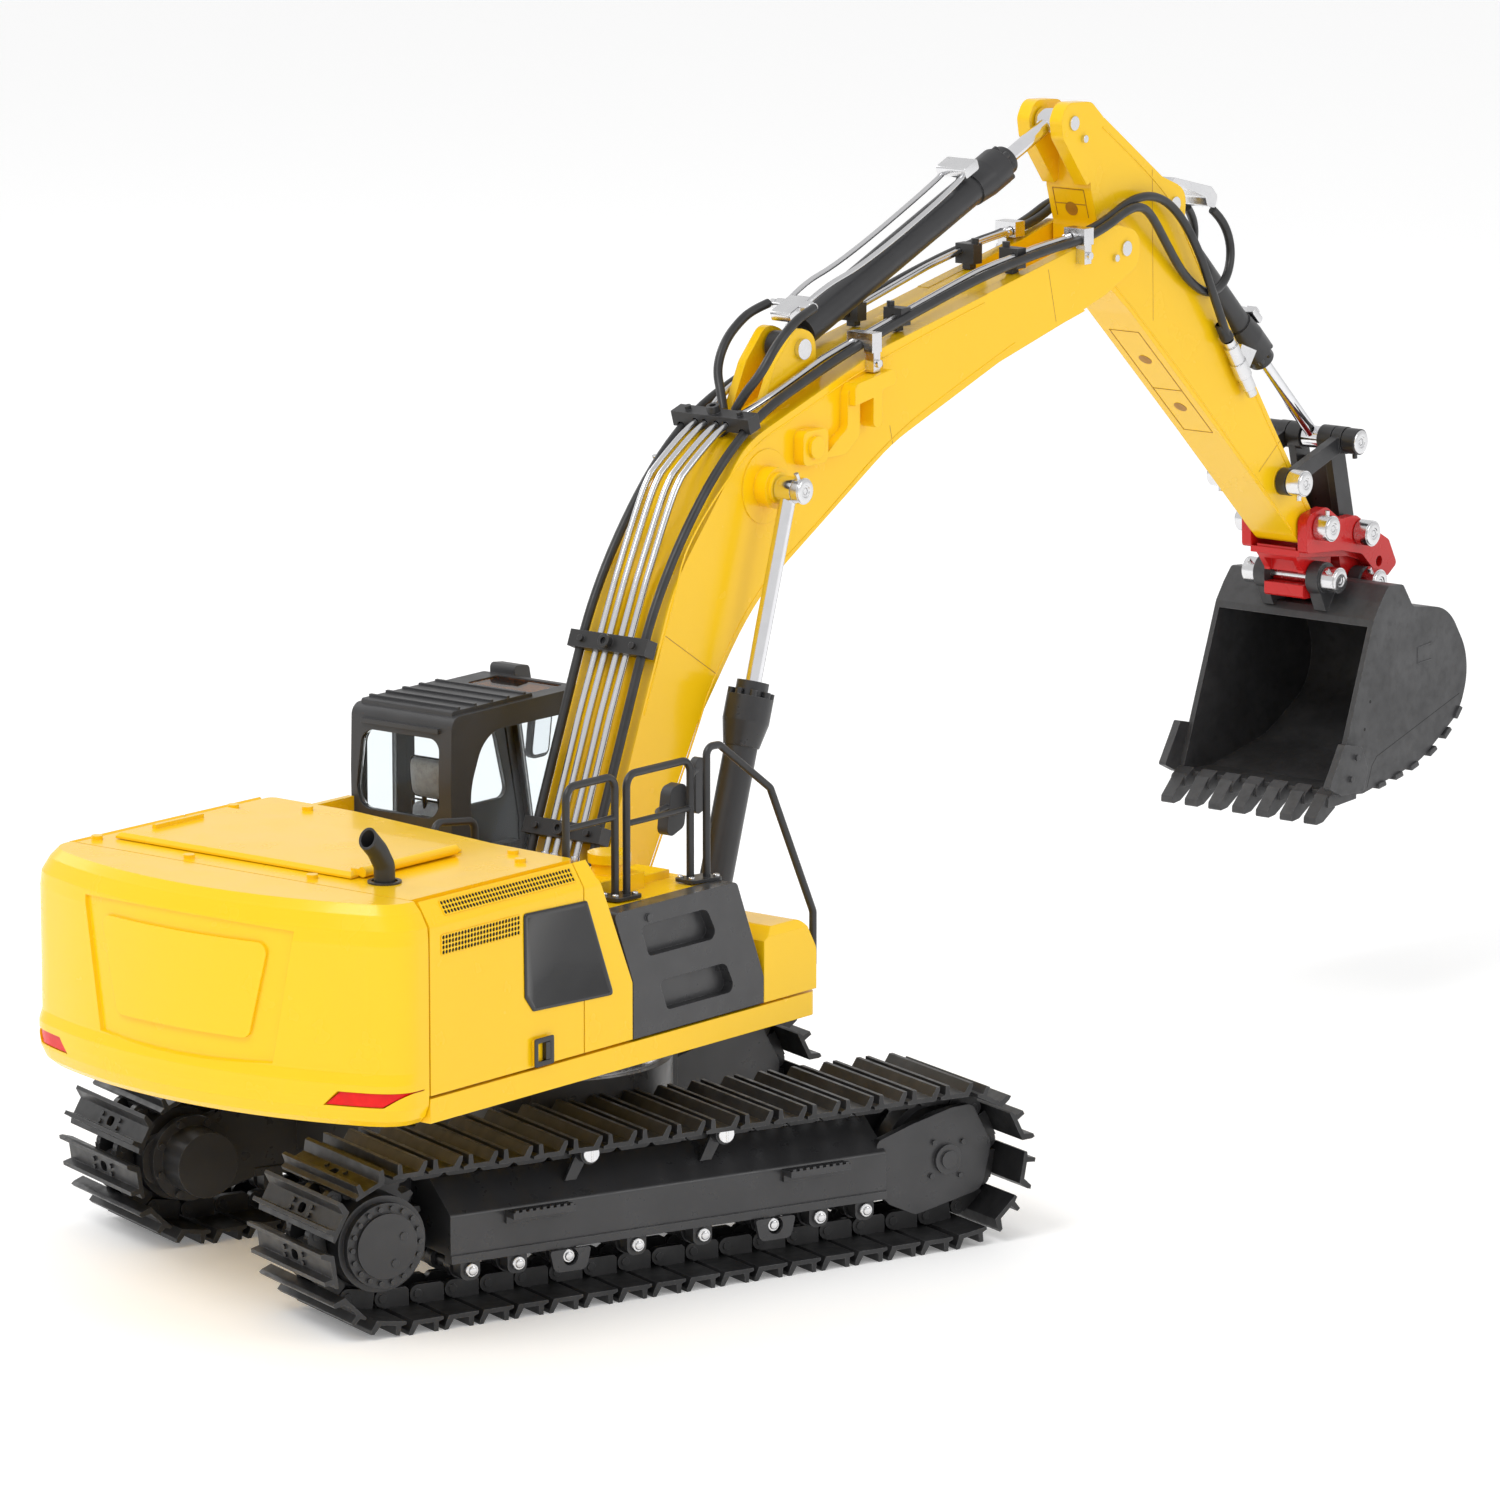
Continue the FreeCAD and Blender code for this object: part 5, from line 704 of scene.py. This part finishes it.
make_piece("latch_ring", latch_ring, looks["panel_black"], "upper", "case_black", bevel=0.08)


# ---- small bright screws ----------------------------------------------------------------------
def rail_screws(work):
    for x, y in ((-51.6, -78.4), (-51.6, -73.2), (-42.4, -80.4), (-42.4, -75.4), (-8.8, -81), (-8.8, -75.4),
                 (2, -84.4), (2, -79.4), (-80, -78.8), (-75.2, -73.2)):
        screw(work, (x, y, 153.8), (0, 0, 1), 1.25, 1.0)


def roller_bolts(side):
    """Bright ends of the track rollers below, slotted ends of the carrier rollers above."""
    def build(work):
        for x in (-88.3, -67.9, -46.3, -15.4, 14.0, 45.0, 66.4, 87.4):
            lathe(work, [(0, 0), (0, 2.75), (1.0, 2.75), (1.35, 2.4), (1.35, 1.75), (2.0, 1.6), (2.15, 1.3),
                         (2.15, 0)], (x, side * 96.9, 18.1), (0, side, 0), 32)
        for x in (-35.0, 25.0):
            lathe(work, [(0, 0), (0, 3.5), (0.9, 3.5), (1.2, 3.2), (1.2, 0)], (x, side * 95.4, 56.2),
                  (0, side, 0), 32)
            block(work, x - 0.35, x + 0.35, *sorted((side * 96.4, side * 96.9)), 53.4, 59.0)
    return build


make_piece("rail_screws", rail_screws, "bright_steel", "upper")
for side in (-1, 1):
    make_piece("roller_bolts_" + side_word(side), roller_bolts(side), "bright_steel", "undercarriage", place=LOWER)


# ---- operator's seat --------------------------------------------------------------------------
SEAT_Y = 66                         # middle of the seat
PIPING_R = 0.42


def cushion(work, half, crown, channels=(), cuts=9):
    """Crowned pad about the origin: sides pull in between its corners, sewn channels run across it."""
    bmesh.ops.create_cube(work, size=2.0)
    bmesh.ops.subdivide_edges(work, edges=work.edges, cuts=cuts, use_grid_fill=True)
    for v in work.verts:
        a, b, c = v.co
        swell = (1 - abs(a) ** 3.2) * (1 - abs(b) ** 3.2)
        pull_a = 1 - 0.05 * (1 - b * b) - 0.10 * abs(c) ** 3
        pull_b = 1 - 0.05 * (1 - a * a) - 0.10 * abs(c) ** 3
        groove = sum(math.exp(-((a - spot) / 0.055) ** 2) for spot in channels)
        corner = 1 - 0.16 * (abs(a) * abs(b)) ** 3
        v.co = Vector((a * half[0] * pull_a * corner, b * half[1] * pull_b * corner,
                       c * (half[2] * (0.62 + 0.38 * swell) + crown * swell - 0.9 * groove * max(0, swell))))


def build_pad(half, crown, channels, spot, lean):
    def build(work):
        cushion(work, half, crown, channels)
        bmesh.ops.subdivide_edges(work, edges=work.edges, cuts=1, use_grid_fill=True, smooth=0.6)
        work.transform(Matrix.Translation(spot) @ Matrix.Rotation(math.radians(lean), 4, "Y"))
    return build


def build_piping(half, spot, lean):
    def build(work):
        turn = Matrix.Translation(spot) @ Matrix.Rotation(math.radians(lean), 4, "Y")
        a, b = half[:2]
        line = rounded([(a, b), (-a, b), (-a, -b), (a, -b)], 2.4, 6)
        bead(work, [turn @ Vector((x * 0.975, y * 0.975, 0)) for x, y in line], PIPING_R, 8, True)
    return build


def seat_base(work):
    """Foot, pedestal and pan, two armrests and the posts of the headrest."""
    for low, high, x0, x1, half in ((109.3, 112, 18, 44, 11.5), (112, 124, 24, 38, 8), (124, 126.0, 19, 43, 11)):
        y0, y1 = SEAT_Y - half, SEAT_Y + half
        prism(work, rounded([(x0, y0), (x1, y0), (x1, y1), (x0, y1)], 2.0, 4), "z", low, high)
    for y in (46.5, 80.4):
        prism(work, rounded([(15, 140), (41, 140), (41, 145), (15, 145)], 1.8, 4), "y", y, y + 5)
        prism(work, [(20, 131), (26, 131), (24, 140.2), (18, 140.2)], "y", y + 1.4, y + 3.6)
    for y in (SEAT_Y - 4, SEAT_Y + 4):
        lathe(work, [(0, 0), (0, 1.0), (9, 1.0), (9, 0)], (10.5, y, 158), (-0.16, 0, 0.99), 12)


# name, half sizes, crown, sewn channels, middle and lean of each pad
PADS = (("seat_cushion", (16.2, 13.2, 4.0), 0.5, (-0.35, 0.3), (30, SEAT_Y, 130.4), -2.5),
        ("seat_back", (14.2, 12.6, 3.4), 0.5, (-0.45, 0.0, 0.45), (13.6, SEAT_Y, 148.6), -98.5),
        ("seat_headrest", (8.4, 9.6, 3.2), 0.5, (), (8.6, SEAT_Y, 172.5), -96.5))
seat_base_piece = make_piece("seat_base", seat_base, "case_black", "upper", bevel=0.3)
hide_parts("operator_seat")
for name, half, crown, channels, spot, lean in PADS:
    pad = make_piece(name, build_pad(half, crown, channels, spot, lean), "seat_grey", "upper", smooth=80)
    make_piece(name + "_piping", build_piping(half, spot, lean), "case_black", "upper", smooth=80)


# ---- seams, welds and pins of the arm ---------------------------------------------------------
BOOM_FACE, STICK_FACE, BUCKET_FACE = 18.0, 11.5, 42.0           # half widths
BOOM_PIN_END, ARM_PIN_END = 37.75, 23.95
SEAM_WIDTH = 0.32
WELD_R = 0.42


def groove_lines(lines, y):
    """Fine seams: dark strips a hair proud of a side face."""
    def build(work):
        for line in lines:
            for (x0, z0), (x1, z1) in zip(line, line[1:]):
                along = Vector((x1 - x0, z1 - z0)).normalized() * SEAM_WIDTH * 0.4
                nx, nz = -along.y * 1.25, along.x * 1.25
                x2, z2, x3, z3 = x0 - along.x, z0 - along.y, x1 + along.x, z1 + along.y
                prism(work, [(x2 + nx, z2 + nz), (x3 + nx, z3 + nz), (x3 - nx, z3 - nz), (x2 - nx, z2 - nz)],
                      "y", y - 0.03, y + 0.03)
    return build


BOOM_SEAMS = [[(53.0, 232.6), (84.2, 213.2)], [(191.5, 327.2), (193.0, 314.0)],
              [(196.8, 298.5), (198.7, 290.9)], [(303.9, 350.6), (309.5, 328.5)]]
STICK_SEAMS = [[(385.7, 383.5), (387.4, 319.6)], [(466.6, 244.8), (482.0, 256.2)]]
seam_look = (Look("seam_shadow", (0.42, 0.19, 0.006), 0.5).mottle(300, (0.30, 0.13, 0.004))
             .bump(900, 0.00002, 2).gloss(200, 0.08).done())
for side in (-1, 1):
    word = side_word(side)
    make_piece("boom_seams_" + word, groove_lines(BOOM_SEAMS, side * BOOM_FACE), seam_look, "boom",
               "body_yellow")
    make_piece("stick_seams_" + word, groove_lines(STICK_SEAMS, side * STICK_FACE), seam_look, "stick",
               "body_yellow")


BOOM_WELDS = [[(39.5, 203), (58, 246), (66, 268), (104.6, 300.6), (140, 311), (186, 326), (260, 341.5)],
              [(38, 132), (73, 192.5), (80, 208), (110, 243.5), (150, 265), (198, 294), (240, 309), (281, 322.6)]]
STICK_WELDS = [[(350, 405), (397.5, 374), (410, 353), (474, 263.5), (508, 217)],
               [(354, 342), (372, 327.4), (438.5, 267.4), (492, 216)]]


def weld_beads(lines, y):
    def build(work):
        for line in lines:
            bead(work, [(x, y, z) for x, _, z in smooth_points([(x, 0, z) for x, z in line])], WELD_R, 8)
    return build


for side in (-1, 1):
    word = side_word(side)
    make_piece("boom_welds_" + word, weld_beads(BOOM_WELDS, side * (BOOM_FACE - 0.05)), "body_yellow", "boom",
               smooth=60)
    make_piece("stick_welds_" + word, weld_beads(STICK_WELDS, side * (STICK_FACE - 0.05)), "body_yellow",
               "stick", smooth=60)


def pin_caps(spots, y, radius, height):
    """Turned caps with a stepped face and a hexagon socket, on both sides of the arm."""
    face = [(0, 0), (0, radius), (height * 0.6, radius), (height, radius * 0.86), (height, radius * 0.5),
            (height * 0.5, radius * 0.46), (height * 0.5, radius * 0.30)]
    socket = [(height * 0.5, radius * 0.30), (height * 0.1, radius * 0.28), (height * 0.1, 0)]

    def build(work):
        for side in (-1, 1):
            for x, z in spots:
                lathe(work, face, (x, side * y, z), (0, side, 0), 30)
                lathe(work, socket, (x, side * y, z), (0, side, 0), 6)
    return build


# body, spots, sideways place and radius of the caps on each body's pins
for body, spots, y, radius in (("boom", [(115.8, 284.1)], BOOM_PIN_END, 5.0),
                               ("stick", [(483.7, 238.6)], ARM_PIN_END, 5.2),
                               ("rocker", [(525.5, 251.7)], ARM_PIN_END, 5.2),
                               ("bucket", [(505.1, 216.0), (536.3, 209.8), (511.0, 192.3), (542.3, 187.3)],
                                ARM_PIN_END, 5.2)):
    make_piece(body + "_pin_caps", pin_caps(spots, y, radius, 0.9), "bright_steel", body, bevel=0.1)


# ---- bucket details ---------------------------------------------------------------------------
BUCKET_SEAMS = [[(579.6, 134.3), (515.4, 115.8), (511.7, 112.1), (508.2, 102.9)]]
WEAR_BLOCKS = [(577.9, 126.3, 48), (569.4, 118.3, 36), (558.1, 111.9, 24), (543.9, 107.4, 15),
               (531.7, 104.9, 10), (518.5, 102.9, 8)]          # x, z and lean
PLATE_LINES = ([(556.7, 160.5), (545.9, 159.6)], [(545.9, 159.6), (546.1, 152.6)], [(546.1, 152.6), (556.9, 153.1)])


def wear_blocks(work):
    """Blocks along the bucket's lower edge and beads on its sides."""
    for side in (-1, 1):
        for x, z, lean in WEAR_BLOCKS:
            c, s = math.cos(math.radians(lean)), math.sin(math.radians(lean))
            line = rounded([(-3.2, -1.3), (3.2, -1.3), (2.6, 1.0), (-2.6, 1.0)], 0.5, 3)
            prism(work, [(x + c * a - s * b, z + s * a + c * b) for a, b in line], "y",
                  *sorted((side * 37.0, side * 43.2)))
        for line in PLATE_LINES:
            bead(work, [(x, side * BUCKET_FACE, z) for x, z in line], 0.35, 6)


def bucket_holes(work):
    for side in (-1, 1):
        for x, z in ((509.7, 140.9), (505.7, 129.2)):
            lathe(work, [(0, 0), (0, 0.75), (0.06, 0.75), (0.06, 0)], (x, side * (BUCKET_FACE - 0.02), z),
                  (0, side, 0), 16)


dark_look = (Look("hole_shadow", (0.006, 0.006, 0.006), 0.7).mottle(400, (0.010, 0.010, 0.010))
             .bump(900, 0.00001).done())
for side in (-1, 1):
    make_piece("bucket_seams_" + side_word(side), groove_lines(BUCKET_SEAMS, side * BUCKET_FACE), dark_look,
               "bucket", "bucket_dark")
make_piece("bucket_wear_blocks", wear_blocks, "bucket_dark", "bucket", bevel=0.2)
make_piece("bucket_side_holes", bucket_holes, dark_look, "bucket", "bucket_dark")


# ---- fittings of the cylinders ----------------------------------------------------------------
def cylinder_tube(work):
    """Bright feed tube along the stick cylinder, from its manifold to the block at the collar."""
    for side in (-1, 1):
        line = smooth_points([(155, side * 4.5, 349.0), (166.8, side * 5.6, 356.4),
                              (195.8, side * 6, 363.4), (258, side * 6, 389.6), (266, side * 5.0, 395.0)])
        bead(work, line, 1.1, 10)


def cylinder_blocks(work):
    """Manifold over the stick cylinder's eye, narrow between the boom's ears, and the block at the collar."""
    prism(work, rounded([(149, 344.4), (163, 350.2), (161.4, 354.2), (147.4, 348.4)], 1.2, 3), "y", -5.0, 5.0)
    prism(work, rounded([(154.9, 348.1), (159.3, 349.9), (158.2, 352.8), (153.7, 351.0)], 0.8, 3), "y", -9.0, 9.0)
    prism(work, rounded([(261.4, 391.4), (270.2, 395.0), (268.6, 399.4), (259.8, 395.8)], 1.2, 3), "y", -7.4, 7.4)
    for side in (-1, 1):
        lathe(work, [(0, 0), (0, 1.9), (2.2, 1.9), (2.6, 1.4), (2.6, 0)], (156.5, side * 8.9, 350.4), (0, side, 0), 20)
        screw(work, (266, side * 4.2, 397.4), (-0.38, 0, 0.92), 1.1, 0.8)


def bucket_cylinder_blocks(work):
    """Small bright block on the collar of the bucket cylinder."""
    axis = Vector((0.729, 0, -0.684))
    out = Vector((0.684, 0, 0.729))
    spot = Vector((402.0, 0, 367.5)) + axis * 92
    for low, high, long, half in ((7.4, 10.6, 4, 4.0), (10.4, 12.6, 2, 2.4)):
        corners = [(-long, low), (long, low), (long, high), (-long, high)]
        line = [spot + axis * a + out * b for a, b in rounded(corners, 0.9, 3)]
        prism(work, [(v.x, v.z) for v in line], "y", -half, half)


make_piece("stick_cylinder_tube", cylinder_tube, "pipe_steel", "stick_barrel", "bright_steel",
           smooth=60)
make_piece("stick_cylinder_blocks", cylinder_blocks, "bright_steel", "stick_barrel", bevel=0.2)
make_piece("bucket_cylinder_block", bucket_cylinder_blocks, "bright_steel", "bucket_barrel", bevel=0.2)


# ---- small parts of boom and stick ------------------------------------------------------------
BRACKET_CAP = (141.7, 297)
BELLY = Vector((372.0, 0, 324.0))                               # start of the stick's lower face
BELLY_RUN = Vector((66, 0, -59.5)).normalized()
BELLY_OUT = Vector((-59.5, 0, -66)).normalized()


def bracket_caps(work):
    """Black cap with a cross slot on the bracket at the boom's right side."""
    x, z = BRACKET_CAP
    lathe(work, [(0, 0), (0, 4.3), (0.9, 4.3), (1.3, 3.8), (1.3, 2.9), (1.0, 2.7), (1.0, 0)],
          (x, -23.0, z), (0, -1, 0), 36)
    for angle in (40, 130):
        c, s = math.cos(math.radians(angle)), math.sin(math.radians(angle))
        line = [(x + c * a - s * b, z + s * a + c * b) for a, b in
                ((-2.2, -0.35), (2.2, -0.35), (2.2, 0.35), (-2.2, 0.35))]
        prism(work, line, "y", -24.25, -23.9)


def hose_sleeves(work):
    """Black boots where the hoses join the stick's couplings."""
    for side in (-1, 1):
        foot = Vector((436.6, side * 15.6, 306.1))
        along = Vector((6.7, side * 1.2, -9.8)).normalized()
        lathe(work, [(-9, 1.95), (-8.6, 2.5), (-3.6, 2.7), (-3.2, 3.0), (-0.6, 3.0), (-0.2, 2.4), (0.2, 1.9)],
              foot, along, 24)


def nose_panel(work):
    """Seams of the cover on the stick's nose."""
    for line in ([(-7.5, 379.0), (8.5, 379.0)], [(8.5, 379.0), (8.5, 367.0)], [(-7.5, 379.0), (-7.5, 367.0)],
                 [(-7.5, 372.5), (8.5, 372.5)]):
        bead(work, [(face_x(z) - 0.02, y, z) for y, z in line], 0.22, 6)


def nose_hole(work):
    centre = Vector((face_x(370.4) - 0.05, 0.5, 370.4))
    lathe(work, [(0, 0), (0, 3.1), (0.12, 3.1), (0.12, 0)], centre, (-0.95, 0, -0.31), 32)


def face_x(z):
    """The nose's front face: upright above, sloping back towards the boom's tip below."""
    return 342.0 + max(0.0, 380.0 - z) * 4.8 / 15.0


def belly_holes(work):
    """Round holes in the stick's lower face."""
    for along in (35, 70):
        lathe(work, [(-0.4, 0), (-0.4, 3.0), (0.16, 3.0), (0.16, 0)], BELLY + BELLY_RUN * along, BELLY_OUT, 28)


def on_belly(along, y):
    return BELLY + Vector((0, y, 0)) + BELLY_RUN * along + BELLY_OUT * 0.02


def belly_seams(work):
    for y in (-7.6, 7.6):
        bead(work, [on_belly(14, y), on_belly(88, y)], 0.2, 6)
    for along in (14, 57, 88):
        bead(work, [on_belly(along, -7.6), on_belly(along, 7.6)], 0.2, 6)


make_piece("bracket_caps", bracket_caps, "case_black", "boom", bevel=0.1)
make_piece("hose_sleeves", hose_sleeves, "hose_black", "stick", smooth=50)
make_piece("nose_panel", nose_panel, seam_look, "stick", "body_yellow")
make_piece("nose_hole", nose_hole, seam_look, "stick", "body_yellow")
make_piece("belly_holes", belly_holes, seam_look, "stick", "body_yellow")
make_piece("belly_seams", belly_seams, seam_look, "stick", "body_yellow")


# ---- mirror faces -----------------------------------------------------------------------------
mirror_look = (Look("mirror_glass", (0.86, 0.88, 0.90), 0.04, 1.0)
               .mottle(200, (0.80, 0.82, 0.85), 0.5, 0.8, 0.3).bump(60, 0.00001).done())


def mirror_faces(work):
    for line, low, high in ((((-11, 169.5), (-1.8, 173), (0.8, 188.4), (-8.4, 186.8)), -65.98, -65.7),
                            (((2, 177.6), (8, 180), (6.2, 196.6), (2, 198.4)), -71.98, -71.7),
                            (((99, 164.6), (109, 164.6), (111.6, 182.6), (102, 182.6)), 89.7, 89.98)):
        prism(work, rounded(line, 2.2, 5), "y", low, high)


make_piece("mirror_faces", mirror_faces, mirror_look, "upper", "cab_black")
